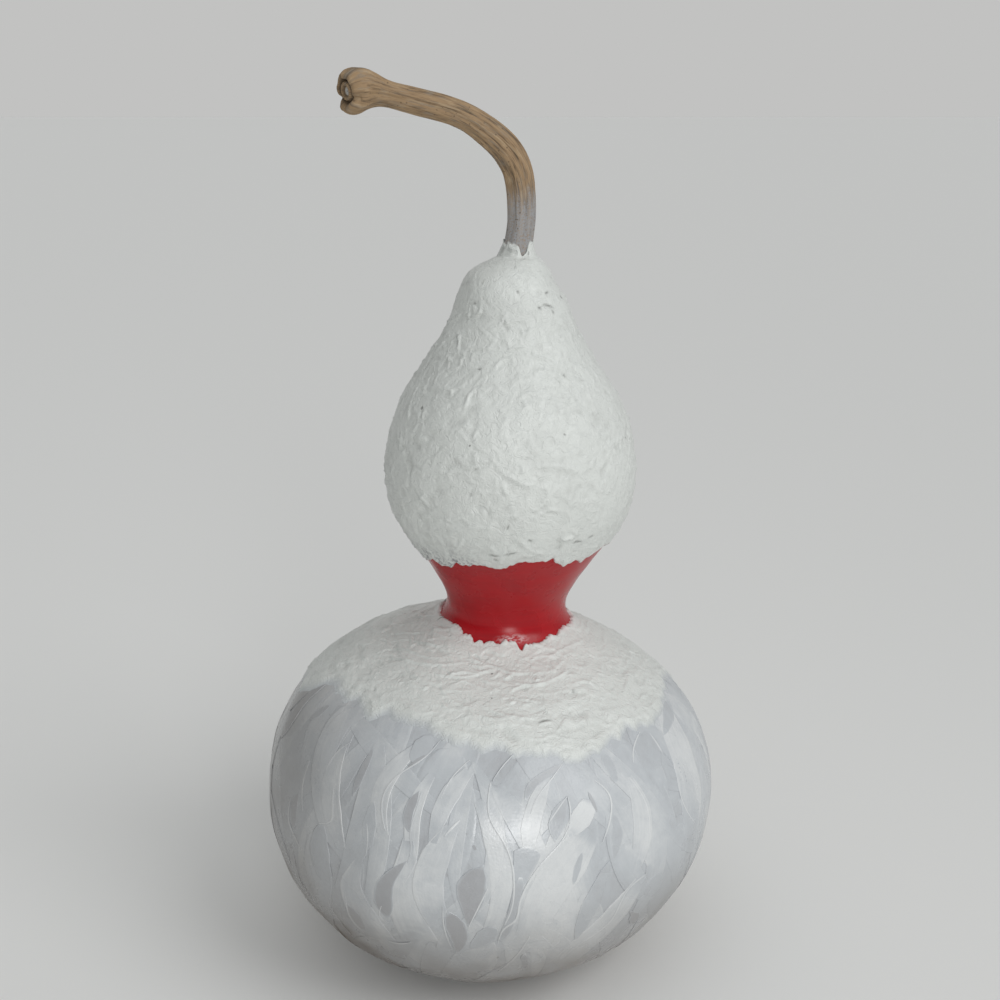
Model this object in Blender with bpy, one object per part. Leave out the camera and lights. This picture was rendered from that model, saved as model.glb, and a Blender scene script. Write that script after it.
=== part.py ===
# Painted bottle gourd, standing on its blossom end
# A dried gourd, its woody stem, and two thin coats of texture paste that leave the neck bare
import math

import bmesh
import bpy
import numpy as np

MM = 0.001
FITTING_GAP = 0.3

# Gourd outline in millimetres: height above the resting spot, radius
OUTLINE = [
    (0, 26), (2.5, 44), (13, 71), (40, 98), (82, 111.5), (122, 101), (146, 77.5), (158, 54.5), (167, 37),
    (174.5, 29.8), (181, 29), (188, 31.2), (196, 35.8), (205, 41.6), (222, 52.6), (250, 58), (284, 47.5),
    (312, 29.2), (327, 23.2), (338, 17.4), (345.5, 8.6),
]
# How the centreline leans towards +X: height, sideways shift
LEAN = [
    (0, -3), (45, -2), (90, -0.5), (140, 3.5), (177, 6.4), (246, 8.2), (300, 8.6), (322, 7.9), (338, 8.4),
    (346, 11.5),
]
BASE_LEVEL_OVER = 30
CROWN_LEVEL_OVER = 25
SLOPE_STEP = 0.5
CURVE_STEPS = 2000
COLUMNS = 48

# Row heights are spread evenly inside each of these bands: top of the band, number of rows
ROW_BANDS = [(16, 4), (134, 12), (170, 10), (206, 9), (345.5, 20)]

# A grown thing is never quite round: share of the radius, lobes, turn in radians
LOBES = [(0.006, 2, 0.7), (0.004, 3, 2.1), (0.002, 5, 4.0)]

SOCKET_RADIUS = 7.2
SOCKET_FLOOR = 343.0
SOCKET_LIP = 346.3

# Paste coats: thickness, and edges as a mean height plus waves of (size, count, turn)
PASTE_THICKNESS = 1.15
PASTE_EDGE_SHARE = 0.5
EDGE_ROUNDING = 7.0
EDGE_ROW_STEP = 0.09
CAP_EDGE = 213.0
CAP_EDGE_WAVES = [(1.5, 2, 1.4), (1.2, 5, 1.0), (1.1, 9, 0.4), (0.9, 15, 2.2)]
COLLAR_TOP = 171.5
COLLAR_TOP_WAVES = [(1.6, 1, 0), (0.8, 5, 0.3), (1.1, 12, 1.2), (0.7, 19, 0.5)]
COLLAR_FOOT = 138.5
COLLAR_FOOT_WAVES = [(2.0, 1, 0.4), (2.6, 2, 2.2), (2.0, 5, 0.6), (1.2, 8, 1.1)]
# Relief as waves of (depth, count round the gourd, length upwards, drift, count of drifts, turn)
CAP_RELIEF = [(0.3, 0, 16.5, 2.2, 2, 0.6), (0.22, 5, 34, 1.3, 3, 0)]
COLLAR_RELIEF = [(0.32, 0, 9.5, 0.9, 3, 0.4), (0.12, 7, 16, 0.5, 5, 1)]
CONE_HEIGHT = 6.5
CONE_WALL = 1.3

# Stem centreline in millimetres, from the socket to the cut end
STEM_LINE = [
    (11.5, 0, 343.4), (11.7, 0, 348.8), (12.4, 0, 354.6), (13.3, 0, 361.3), (13.5, 0, 368.8), (13, 0, 376.7),
    (10.9, -1, 385.4), (6.4, -3, 393.2), (0, -5, 399.5), (-7.5, -7, 404.8), (-17.4, -10, 409.5),
    (-30.6, -13, 413.2), (-47.3, -17, 417.2), (-61.5, -20, 417.8),
]
# Share of the stem's length, radius
STEM_RADII = [
    (0, 6.5), (0.1, 6.2), (0.4, 6.6), (0.6, 5.8), (0.8, 5.5), (0.87, 5.8), (0.93, 8.6), (0.97, 9.4), (1, 8.4),
]
# The cut end turns inwards: distance back from the tip, radius
STEM_END = [(-0.4, 7.2), (1.6, 6), (0.4, 4.6), (0.2, 3.2), (2.2, 2)]
STEM_SIDES = 24
STEM_ROWS = 34
STEM_RIBS = 6
RIB_DEPTH = 0.045
RIB_TWIST = 1.4

# Linear colours, with roughness
COLOURS = {
    "gourd": ((0.62, 0.64, 0.66, 1), 0.42),
    "stem": ((0.26, 0.17, 0.09, 1), 0.8),
    "paste_cap": ((0.68, 0.70, 0.67, 1), 0.55),
    "paste_collar": ((0.66, 0.68, 0.66, 1), 0.55),
}


def clear_scene():
    for thing in list(bpy.data.objects):
        bpy.data.objects.remove(thing, do_unlink=True)


def smooth_curve(knots, values, at):
    """Natural cubic through the values, read at the places in at."""
    knots = np.asarray(knots, float)
    values = np.asarray(values, float)
    step = np.diff(knots)
    count = len(knots)
    system = np.eye(count)
    pull = np.zeros((count,) + values.shape[1:])
    for i in range(1, count - 1):
        system[i, i - 1:i + 2] = step[i - 1], 2 * (step[i - 1] + step[i]), step[i]
        pull[i] = 6 * ((values[i + 1] - values[i]) / step[i] - (values[i] - values[i - 1]) / step[i - 1])
    bend = np.linalg.solve(system, pull)
    at = np.asarray(at, float)
    i = np.clip(np.searchsorted(knots, at) - 1, 0, count - 2)
    shape = at.shape + (1,) * (values.ndim - 1)
    left = (at - knots[i]).reshape(shape)
    right = (knots[i + 1] - at).reshape(shape)
    gap = step[i].reshape(shape)
    return (
        (bend[i] * right ** 3 + bend[i + 1] * left ** 3) / (6 * gap)
        + (values[i] / gap - bend[i] * gap / 6) * right
        + (values[i + 1] / gap - bend[i + 1] * gap / 6) * left
    )


def chord_lengths(points):
    runs = np.linalg.norm(np.diff(np.asarray(points, float), axis=0), axis=1)
    return np.concatenate([[0], np.cumsum(runs)])


def ease(value):
    value = np.clip(value, 0, 1)
    return value * value * (3 - 2 * value)


def waves(angle, mean, terms):
    return mean + sum(size * np.sin(count * angle + turn) for size, count, turn in terms)


def row_heights():
    heights = [0.0]
    for top, rows in ROW_BANDS:
        start = heights[-1]
        heights += [start + (top - start) * (i + 1) / rows for i in range(rows)]
    return np.array(heights)


def outline_at(heights):
    """Radii of the turned outline at the given heights."""
    along = chord_lengths(OUTLINE)
    fine = smooth_curve(along, OUTLINE, np.linspace(0, along[-1], CURVE_STEPS))
    return np.interp(heights, fine[:, 0], fine[:, 1])


def lean_at(heights):
    knots, shifts = zip(*LEAN)
    return smooth_curve(knots, shifts, heights)


def ring_grid(heights, radii):
    """Rings across the leaning centreline, one row of COLUMNS points for each height."""
    angle = np.arange(COLUMNS) * 2 * math.pi / COLUMNS
    centre = lean_at(heights)
    slope = (lean_at(heights + SLOPE_STEP) - lean_at(heights - SLOPE_STEP)) / (2 * SLOPE_STEP)
    top = heights[-1]
    slope = slope * ease(heights / BASE_LEVEL_OVER) * ease((top - heights) / CROWN_LEVEL_OVER)
    tilt = np.arctan(slope)[:, None]
    round_off = 1 + sum(share * np.cos(count * (angle - turn)) for share, count, turn in LOBES)
    reach = radii[:, None] * round_off
    x = centre[:, None] + reach * np.cos(angle) * np.cos(tilt)
    y = reach * np.sin(angle)
    z = heights[:, None] - reach * np.cos(angle) * np.sin(tilt)
    return np.stack([x, y, z], axis=2)


def grid_normals(grid):
    around = np.roll(grid, -1, axis=1) - np.roll(grid, 1, axis=1)
    upwards = np.gradient(grid, axis=0)
    normal = np.cross(around, upwards)
    return normal / np.linalg.norm(normal, axis=2, keepdims=True)


def add_rings(mesh, grid):
    return [[mesh.verts.new(point * MM) for point in ring] for ring in grid]


def join_rings(mesh, lower, upper):
    count = len(lower)
    for i in range(count):
        j = (i + 1) % count
        mesh.faces.new((lower[i], lower[j], upper[j], upper[i]))


def finish(name, mesh, crease_degrees=40):
    """Turns the bmesh into a named, smooth-shaded object with its own material."""
    bmesh.ops.recalc_face_normals(mesh, faces=mesh.faces)
    data = bpy.data.meshes.new(name)
    mesh.to_mesh(data)
    mesh.free()
    data.shade_smooth()
    data.set_sharp_from_angle(angle=math.radians(crease_degrees))
    colour, roughness = COLOURS[name]
    material = bpy.data.materials.new(name)
    material.use_nodes = True
    shader = material.node_tree.nodes["Principled BSDF"]
    shader.inputs["Base Color"].default_value = colour
    shader.inputs["Roughness"].default_value = roughness
    shader.inputs["Metallic"].default_value = 0
    data.materials.append(material)
    thing = bpy.data.objects.new(name, data)
    bpy.context.collection.objects.link(thing)
    return thing


def gourd(grid):
    """Both bulbs and the neck as one body, with a flat resting spot and a socket for the stem."""
    mesh = bmesh.new()
    socket = [
        round_ring(SOCKET_RADIUS, SOCKET_LIP),
        round_ring(SOCKET_RADIUS, SOCKET_FLOOR),
    ]
    rings = add_rings(mesh, grid) + add_rings(mesh, socket)
    for lower, upper in zip(rings, rings[1:]):
        join_rings(mesh, lower, upper)
    mesh.faces.new(rings[0])
    mesh.faces.new(rings[-1])
    return finish("gourd", mesh)


def round_ring(radius, height):
    """A level ring round the stem's centreline."""
    angle = np.arange(COLUMNS) * 2 * math.pi / COLUMNS
    line = np.array(STEM_LINE)
    centre = np.interp(height, line[:, 2], line[:, 0])
    level = np.full(COLUMNS, height)
    return np.stack([centre + radius * np.cos(angle), radius * np.sin(angle), level], axis=1)


def read_grid(grid, rows):
    """Points on the grid's facets at fractional rows, one row number for each column."""
    low = np.clip(np.floor(rows).astype(int), 0, len(grid) - 2)
    share = (rows - low)[..., None]
    columns = np.broadcast_to(np.arange(grid.shape[1]), rows.shape)
    return grid[low, columns] * (1 - share) + grid[low + 1, columns] * share


def coat_rows(first, last, lower_edge, upper_edge):
    """Whole rows of the gourd between two ragged edges, bunched up where an edge cuts them off."""
    rows = np.arange(first, last + 1, dtype=float)[:, None]
    steps = EDGE_ROW_STEP * np.arange(len(rows))[:, None]
    rows = np.maximum(rows, lower_edge + steps)
    rows = np.minimum(rows, upper_edge - steps[::-1])
    rows[0] = lower_edge
    rows[-1] = upper_edge
    return rows


def coat_layers(grid, heights, rows, terms):
    """Inner and outer rings of a paste coat that follows the gourd's facets."""
    normals = grid_normals(grid)
    base = read_grid(grid, rows)
    outward = read_grid(normals, rows)
    outward /= np.linalg.norm(outward, axis=2, keepdims=True)
    along = chord_lengths(grid[:, 0])
    place = np.interp(rows, np.arange(len(along)), along)
    from_edge = np.minimum(place - place[0], place[-1] - place)
    fade = ease(from_edge / EDGE_ROUNDING)
    angle = np.arange(COLUMNS) * 2 * math.pi / COLUMNS
    height = np.interp(rows, np.arange(len(heights)), heights)
    thickness = PASTE_THICKNESS * (PASTE_EDGE_SHARE + (1 - PASTE_EDGE_SHARE) * fade)
    thickness = thickness + fade * relief(angle[None, :], height, terms)
    inner = base + outward * FITTING_GAP
    outer = inner + outward * thickness[..., None]
    return inner, outer


def coat(name, inner, outer):
    """A thin closed ring of paste between its inner and outer rings."""
    mesh = bmesh.new()
    inside = add_rings(mesh, inner)
    outside = add_rings(mesh, outer)
    for rings in (inside, outside):
        for lower, upper in zip(rings, rings[1:]):
            join_rings(mesh, lower, upper)
    join_rings(mesh, inside[0], outside[0])
    join_rings(mesh, inside[-1], outside[-1])
    return finish(name, mesh)


def relief(angle, height, terms):
    """Trowelled ridges: waves that run round or up the gourd and drift from side to side."""
    return sum(
        depth * np.sin(count * angle + 2 * math.pi * height / length + drift * np.sin(drifts * angle + turn))
        for depth, count, length, drift, drifts, turn in terms
    )


def paste_cap(grid, heights):
    """The coat over the upper bulb, from its ragged lower edge to a small cone round the stem."""
    angle = np.arange(COLUMNS) * 2 * math.pi / COLUMNS
    edge = waves(angle, CAP_EDGE, CAP_EDGE_WAVES)
    edge_row = np.interp(edge, heights, np.arange(len(heights)))
    first = int(np.floor(edge_row.min()))
    last = len(heights) - 1
    rows = coat_rows(first, last, edge_row, np.full(COLUMNS, float(last)))
    inner, outer = coat_layers(grid, heights, rows, CAP_RELIEF)
    cone_top = SOCKET_LIP + CONE_HEIGHT
    cone_foot = SOCKET_LIP + 2 * FITTING_GAP
    wall = PASTE_EDGE_SHARE * PASTE_THICKNESS
    cone_inside = [round_ring(SOCKET_RADIUS, cone_foot), round_ring(SOCKET_RADIUS, cone_top)]
    cone_outside = [
        round_ring(SOCKET_RADIUS + CONE_WALL, cone_foot + CONE_WALL),
        round_ring(SOCKET_RADIUS + wall, cone_top),
    ]
    inner = np.concatenate([inner, cone_inside])
    outer = np.concatenate([outer, cone_outside])
    return coat("paste_cap", inner, outer)


def paste_collar(grid, heights):
    """The coat over the shoulder of the lower bulb, scalloped at the neck and thinning out below."""
    angle = np.arange(COLUMNS) * 2 * math.pi / COLUMNS
    numbers = np.arange(len(heights))
    top_row = np.interp(waves(angle, COLLAR_TOP, COLLAR_TOP_WAVES), heights, numbers)
    foot_row = np.interp(waves(angle, COLLAR_FOOT, COLLAR_FOOT_WAVES), heights, numbers)
    first = int(np.floor(foot_row.min()))
    last = int(np.ceil(top_row.max()))
    rows = coat_rows(first, last, foot_row, top_row)
    inner, outer = coat_layers(grid, heights, rows, COLLAR_RELIEF)
    return coat("paste_collar", inner, outer)


def stem_points(places):
    """Centres and directions along the stem, which runs straight on past its tip."""
    line = np.array(STEM_LINE, float)
    along = chord_lengths(line)
    inside = np.clip(places, 0, along[-1])
    ahead = smooth_curve(along, line, np.clip(inside + SLOPE_STEP, 0, along[-1]))
    behind = smooth_curve(along, line, np.clip(inside - SLOPE_STEP, 0, along[-1]))
    way = (ahead - behind) / np.linalg.norm(ahead - behind, axis=1, keepdims=True)
    return smooth_curve(along, line, inside) + way * (places - inside)[:, None], way


def stem():
    """The ribbed stem, swept along its bend, with a flared end whose cut face is hollowed."""
    length = chord_lengths(STEM_LINE)[-1]
    shares, radii = zip(*STEM_RADII)
    rows = np.linspace(0, 1, STEM_ROWS)
    places = np.concatenate([rows * length, [length - back for back, _ in STEM_END]])
    sizes = np.concatenate([smooth_curve(shares, radii, rows), [radius for _, radius in STEM_END]])
    centres, ways = stem_points(places)
    angle = np.arange(STEM_SIDES) * 2 * math.pi / STEM_SIDES
    mesh = bmesh.new()
    rings = []
    for place, size, centre, way in zip(places, sizes, centres, ways):
        side = np.cross(way, (0, 1, 0))
        side /= np.linalg.norm(side)
        across = np.cross(way, side)
        swell = 1 + RIB_DEPTH * np.sin(STEM_RIBS * angle + RIB_TWIST * place / length)
        spokes = side * np.cos(angle)[:, None] + across * np.sin(angle)[:, None]
        rings += add_rings(mesh, [centre + spokes * (size * swell)[:, None]])
    for lower, upper in zip(rings, rings[1:]):
        join_rings(mesh, lower, upper)
    mesh.faces.new(rings[0])
    mesh.faces.new(rings[-1])
    return finish("stem", mesh)


def main():
    clear_scene()
    heights = row_heights()
    grid = ring_grid(heights, outline_at(heights))
    gourd(grid)
    stem()
    paste_cap(grid, heights)
    paste_collar(grid, heights)


main()
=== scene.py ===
import math
from functools import partial

import bpy
import numpy as np
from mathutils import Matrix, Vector
from mathutils.bvhtree import BVHTree


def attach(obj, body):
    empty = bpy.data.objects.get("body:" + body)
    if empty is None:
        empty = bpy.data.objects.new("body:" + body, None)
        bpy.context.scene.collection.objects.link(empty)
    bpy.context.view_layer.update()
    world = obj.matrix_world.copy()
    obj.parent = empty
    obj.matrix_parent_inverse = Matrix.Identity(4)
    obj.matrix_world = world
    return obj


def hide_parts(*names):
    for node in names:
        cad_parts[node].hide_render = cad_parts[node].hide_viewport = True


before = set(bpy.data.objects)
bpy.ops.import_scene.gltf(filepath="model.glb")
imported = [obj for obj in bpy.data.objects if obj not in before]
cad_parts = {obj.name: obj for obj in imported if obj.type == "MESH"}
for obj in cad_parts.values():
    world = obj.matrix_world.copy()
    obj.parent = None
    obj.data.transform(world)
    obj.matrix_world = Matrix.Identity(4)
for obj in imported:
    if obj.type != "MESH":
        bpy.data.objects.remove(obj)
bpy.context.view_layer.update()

mm = 0.001

# The photograph's view: the camera looks along +Y, 17 degrees down
view = {
    "elevation": 17.0,
    "distance": 646.0,          # mm from the target
    "target": (3.8, 0.0, 230.4),
    "lens": 48.6,               # on a 36 mm sensor
    "sensor": 36.0,
    "side": 1000,               # pixels
}

# Outline and lean in mm, from the resting spot to the stem's foot
shape = {
    "outline": [
        (0, 26), (2.5, 44), (13, 71), (40, 98), (82, 111.5), (122, 101), (146, 77.5), (158, 54.5), (167, 37),
        (174.5, 29.8), (181, 29), (188, 31.2), (196, 35.8), (205, 41.6), (222, 52.6), (250, 58), (284, 47.5),
        (312, 29.2), (327, 23.2), (338, 17.4), (345.5, 8.6),
    ],
    "lean": [
        (0, -3), (45, -2), (90, -0.5), (140, 3.5), (177, 6.4), (246, 8.2), (300, 8.6), (322, 7.9), (338, 8.4),
        (346, 11.5),
    ],
    "lobes": [(0.006, 2, 0.7), (0.004, 3, 2.1), (0.002, 5, 4.0)],
    "baseLevelOver": 30,
    "crownLevelOver": 25,
    "dents": [(46, 0.40, 3), (15, 0.08, 4)],    # size, depth, seed
}


def hexColour(code):
    parts = [int(code[i:i + 2], 16) / 255 for i in (1, 3, 5)]
    return tuple(c / 12.92 if c <= 0.04045 else ((c + 0.055) / 1.055) ** 2.4 for c in parts) + (1.0,)


def ease(value):
    value = np.clip(value, 0, 1)
    return value * value * (3 - 2 * value)


def chordLengths(points):
    runs = np.linalg.norm(np.diff(np.asarray(points, float), axis=0), axis=1)
    return np.concatenate([[0], np.cumsum(runs)])


def smoothCurve(knots, values, at):
    # Natural cubic through the values, read at the places in at
    knots, values, at = np.asarray(knots, float), np.asarray(values, float), np.asarray(at, float)
    step = np.diff(knots)
    count = len(knots)
    system = np.eye(count)
    pull = np.zeros((count,) + values.shape[1:])
    for i in range(1, count - 1):
        system[i, i - 1:i + 2] = step[i - 1], 2 * (step[i - 1] + step[i]), step[i]
        pull[i] = 6 * ((values[i + 1] - values[i]) / step[i] - (values[i] - values[i - 1]) / step[i - 1])
    bend = np.linalg.solve(system, pull)
    i = np.clip(np.searchsorted(knots, at) - 1, 0, count - 2)
    wide = at.shape + (1,) * (values.ndim - 1)
    left = (at - knots[i]).reshape(wide)
    right = (knots[i + 1] - at).reshape(wide)
    gap = step[i].reshape(wide)
    return (
        (bend[i] * right ** 3 + bend[i + 1] * left ** 3) / (6 * gap)
        + (values[i] / gap - bend[i] * gap / 6) * right
        + (values[i + 1] / gap - bend[i + 1] * gap / 6) * left
    )


def softNoise(points, size, seed, waves=26):
    # Smooth bumps about size across, mostly between -2 and 2
    draw = np.random.default_rng(seed)
    ways = draw.normal(size=(waves, 3))
    waveLengths = size * draw.uniform(0.75, 1.6, (waves, 1))
    ways *= 2 * math.pi / (waveLengths * np.linalg.norm(ways, axis=1, keepdims=True))
    turns = draw.uniform(0, 2 * math.pi, waves)
    return np.sin(points @ ways.T + turns).sum(axis=-1) * math.sqrt(2 / waves)


# Lengths along the outline, in mm, are the rows of every mesh that lies on the gourd
outlineLengths = chordLengths(shape["outline"])
fineLengths = np.linspace(0, outlineLengths[-1], 3000)
fineOutline = smoothCurve(outlineLengths, shape["outline"], fineLengths)
leanHeights, leanShifts = zip(*shape["lean"])


def lengthAt(height):
    return np.interp(height, fineOutline[:, 0], fineLengths)


def heightAt(length):
    return np.interp(length, fineLengths, fineOutline[:, 0])


def radiusAt(length):
    return np.interp(length, fineLengths, fineOutline[:, 1])


def leanAt(height):
    # The centreline's sideways shift and its slope
    before, shift, after = (smoothCurve(leanHeights, leanShifts, height + step) for step in (-0.5, 0, 0.5))
    slope = (after - before) * ease(height / shape["baseLevelOver"])
    return shift, slope * ease((shape["outline"][-1][0] - height) / shape["crownLevelOver"])


def ringPoint(length, azimuth):
    height = heightAt(length)
    shift, slope = leanAt(height)
    tilt = np.arctan(slope)
    lobes = 1 + sum(share * np.cos(count * (azimuth - turn)) for share, count, turn in shape["lobes"])
    reach = radiusAt(length) * lobes
    x = shift + reach * np.cos(azimuth) * np.cos(tilt)
    return np.stack([x, reach * np.sin(azimuth), height - reach * np.cos(azimuth) * np.sin(tilt)], axis=-1)


def ringOf(points):
    # Azimuth in degrees and height of points on the gourd, the other way round
    height = points[:, 2]
    for _ in range(6):
        shift, slope = leanAt(height)
        height = points[:, 2] + (points[:, 0] - shift) * slope
    return np.degrees(np.arctan2(points[:, 1], points[:, 0] - shift)), height


def rind(length, azimuth):
    # Points on the gourd's surface, gently dented, and their outward directions
    length, azimuth = np.broadcast_arrays(length, azimuth)
    point = ringPoint(length, azimuth)
    around = ringPoint(length, azimuth + 0.002) - point
    ahead = ringPoint(np.clip(length + 0.2, 0, fineLengths[-1]), azimuth)
    behind = ringPoint(np.clip(length - 0.2, 0, fineLengths[-1]), azimuth)
    out = np.cross(around, ahead - behind)
    out /= np.linalg.norm(out, axis=-1, keepdims=True)
    dents = sum(depth * softNoise(point, size, seed) for size, depth, seed in shape["dents"])
    dents = dents * ease(heightAt(length) / shape["baseLevelOver"])
    return point + out * dents[..., None], out


def allRound(columns):
    # The azimuths of a ring's points, from the front on, in radians and in degrees between -180 and 180
    azimuth = np.arange(columns) * 2 * math.pi / columns - math.pi / 2
    return azimuth, (np.degrees(azimuth) + 180) % 360 - 180


def ringQuads(rows, columns, closed=False):
    row = np.arange(rows if closed else rows - 1)[:, None]
    after = (row + 1) % rows
    j = np.arange(columns)
    k = (j + 1) % columns
    corners = [row * columns + j, row * columns + k, after * columns + k, after * columns + j]
    return np.stack(corners, axis=-1).reshape(-1, 4)


def writeAttributes(data, attributes):
    # One number or one vector for each point, by name
    for name, values in attributes.items():
        values = np.asarray(values, np.float32)
        kind, field = ("FLOAT", "value") if values.ndim == 1 else ("FLOAT_VECTOR", "vector")
        data.attributes.new(name, kind, "POINT").data.foreach_set(field, values.ravel())


def makePiece(name, points, faces, attributes=None, materials=(), edges=()):
    # One smooth-shaded object at the origin, points in mm
    data = bpy.data.meshes.new(name)
    data.from_pydata((np.asarray(points) * mm).tolist(), edges, faces)
    writeAttributes(data, attributes or {})
    for material in materials:
        data.materials.append(material)
    data.shade_smooth()
    piece = bpy.data.objects.new(name, data)
    bpy.context.collection.objects.link(piece)
    return piece


# Settings that many nodes share
soft = {"interpolation_type": "SMOOTHSTEP"}
times, plus, minus, timesPlus = (
    {"operation": word} for word in ("MULTIPLY", "ADD", "SUBTRACT", "MULTIPLY_ADD")
)


def addNode(tree, kind, *values, sockets=None, output=0, **settings):
    # Adds a node and gives back one of its outputs, or all. Values fill its sockets in their order,
    # where None leaves one alone, or by name in sockets, and an output among them is linked.
    # Settings are the node's own
    node = tree.nodes.new(kind)
    for key, value in settings.items():
        setattr(node, key, value)
    given = list(zip([socket for socket in node.inputs if socket.enabled], values))
    given += [(node.inputs[key], value) for key, value in (sockets or {}).items()]
    for socket, value in given:
        if isinstance(value, bpy.types.NodeSocket):
            tree.links.new(value, socket)
        elif value is not None:
            socket.default_value = value
    shown = [socket for socket in node.outputs if socket.enabled]
    if output == "all" or not shown:
        return shown
    return node.outputs[output] if isinstance(output, str) else shown[output]


def newMaterial(name):
    # The material, and addNode bound to its tree
    material = bpy.data.materials.new(name)
    material.use_nodes = True
    material.node_tree.nodes.clear()
    return material, partial(addNode, material.node_tree)


def endMaterial(add, colour, roughness, ior=1.5, relief=None, depth=0.0):
    # Relief runs from 0 to about 1, depth is in mm
    normal = add("ShaderNodeBump", 1.0, depth * mm, None, relief) if relief else None
    add("ShaderNodeOutputMaterial", add("ShaderNodeBsdfPrincipled", sockets={
        "Base Color": colour, "Roughness": roughness, "IOR": ior, "Normal": normal,
    }))


def layered(add, code, coats):
    # Colours laid over the first, each with its own share
    colour = hexColour(code)
    for share, code in coats:
        colour = add("ShaderNodeMix", share, colour, hexColour(code), data_type="RGBA")
    return colour


def wavered(add, pattern, strength, base, clamp=False):
    # The base, swayed up and down by a pattern that runs from 0 to 1
    swing = add("ShaderNodeMath", pattern, 0.5, **minus)
    return add("ShaderNodeMath", swing, strength, base, use_clamp=clamp, **timesPlus)


def grainAt(add, place, size, detail, roughness, distortion=0.0):
    # Noise whose patches measure about size along each axis
    place = add("ShaderNodeMapping", place, None, None, tuple(1 / length for length in size))
    return add("ShaderNodeTexNoise", place, 1.0, detail, roughness, 2.0, distortion)


def specksAt(add, place, spacing, size, share):
    # Scattered dots: 1 inside a dot, for a share of the cells, with sizes in the place's own units
    distance, tint, _ = add("ShaderNodeTexVoronoi", place, 1 / spacing, feature="F1", output="all")
    chosen = add("ShaderNodeMath", add("ShaderNodeSeparateColor", tint), share, operation="LESS_THAN")
    near = add("ShaderNodeMapRange", distance, 0.6 * size / spacing, size / spacing, 1.0, 0.0, **soft)
    return add("ShaderNodeMath", chosen, near, **times)


# Bowl: satin acrylic, brushed in translucent white over a pale grey ground.
# The eye sees soft overlapping sweeps with bristle lines and thin bright edges.
bowlPaint = {
    "ground": "#A6A7A9",
    "glaze": "#B9BDC0",         # what thin white over the grey looks like
    "white": "#D3D5D5",
    "dirt": "#77766F",
    "dirtSpecks": (16, 0.7, 0.3),   # mm apart and across, and the share of places that have one
    "dirtShare": 0.55,
    "paintedShade": "#6A6159",         # painted shade: warm grey, darkest towards the resting spot
    "paintedShadeShare": 0.92,
    "paintedShadeTop": 96,             # mm
    "leftPaintedShade": 0.48,          # share of the painted shade on the left side, growing over this range in mm
    "leftRange": (-30, -110),
    "roughness": (0.24, 0.33),
    "ior": 1.53,
    "bristle": (1.3, 34),       # mm across and along, drawn coarser than real bristle lines so that they show
    "bristleBump": 0.035,
    "cloud": 22,                # mm, and how far the clouds sway the tone
    "cloudSway": 0.30,
    "mottle": 5.5,              # mm, patches where the brush skipped
    "mottleSway": 0.34,
    "peel": 1.1,                # mm, the paint's fine orange peel
    "peelShare": 2.3,           # of the bristles' height
}


def makeBowlPaint():
    paint = bowlPaint
    material, add = newMaterial("brushedAcrylic")
    here = add("ShaderNodeTexCoord", output="Object")
    place = add("ShaderNodeAttribute", attribute_name="brushPlace", output="Vector")
    tone, streak = (
        add("ShaderNodeAttribute", attribute_name=name, output="Fac") for name in ("tone", "streak")
    )
    streaks = grainAt(add, place, (*paint["bristle"], 1), 3.0, 0.6)
    clouds = add("ShaderNodeTexNoise", here, 1000 / paint["cloud"], 3.0, 0.55)
    mottle = add("ShaderNodeTexNoise", here, 1000 / paint["mottle"], 3.0, 0.6, 2.0, 0.4)
    peel = add("ShaderNodeTexNoise", here, 1000 / paint["peel"], 2.0, 0.5)
    tone = wavered(add, streaks, streak, tone)
    tone = wavered(add, clouds, paint["cloudSway"], tone)
    tone = wavered(add, mottle, paint["mottleSway"], tone, clamp=True)
    spacing, size, share = paint["dirtSpecks"]
    specks = specksAt(add, here, spacing * mm, size * mm, share)
    x, _, z = add("ShaderNodeSeparateXYZ", here, output="all")
    # Painted shade: warmer and darker towards the resting spot and on the left side, broken up by the clouds
    low = add("ShaderNodeMapRange", z, 0.0, paint["paintedShadeTop"] * mm, paint["paintedShadeShare"], 0.0, **soft)
    left = add("ShaderNodeMapRange", x, *(limit * mm for limit in paint["leftRange"]), **soft)
    paintedShade = add("ShaderNodeMath", left, paint["leftPaintedShade"], low, **timesPlus)
    paintedShade = add("ShaderNodeMath", paintedShade, add("ShaderNodeMath", clouds, 0.5, **plus), use_clamp=True, **times)
    colour = layered(add, paint["ground"], [
        (add("ShaderNodeMapRange", tone, 0.0, 0.55, **soft), paint["glaze"]),
        (add("ShaderNodeMapRange", tone, 0.45, 1.0, **soft), paint["white"]),
        (add("ShaderNodeMath", specks, paint["dirtShare"], **times), paint["dirt"]),
        (paintedShade, paint["paintedShade"]),
    ])
    rough = add("ShaderNodeMapRange", clouds, 0.3, 0.7, *paint["roughness"], **soft)
    relief = add("ShaderNodeMath", peel, paint["peelShare"], streaks, **timesPlus)
    endMaterial(add, colour, rough, paint["ior"], relief, paint["bristleBump"])
    return material


# Neck: oxide red enamel, brushed round the neck and glossy, so that it picks up pale glancing light
neckPaint = {
    "deep": "#8C0C16",
    "bright": "#B60A15",
    # pale mark on the neck: partly dry-brushed white, partly a painted highlight
    "scuffAndHighlight": "#D9C3C4",
    "roughness": (0.22, 0.35),
    "ior": 1.38,
    "streak": (40, 40, 1.4),    # mm, the brush lines run round the neck
    "streakBump": 0.04,
    "patch": 50 / 3,
    "scuffAndHighlightAt": (9.6, -31.3, 171.3),
    "scuffAndHighlightSize": (10.0, 10.0, 3.0),
    "scuffAndHighlightGrain": (10 / 3, 10 / 3, 10 / 9),
    "scuffAndHighlightShare": 0.75,
}


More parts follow.
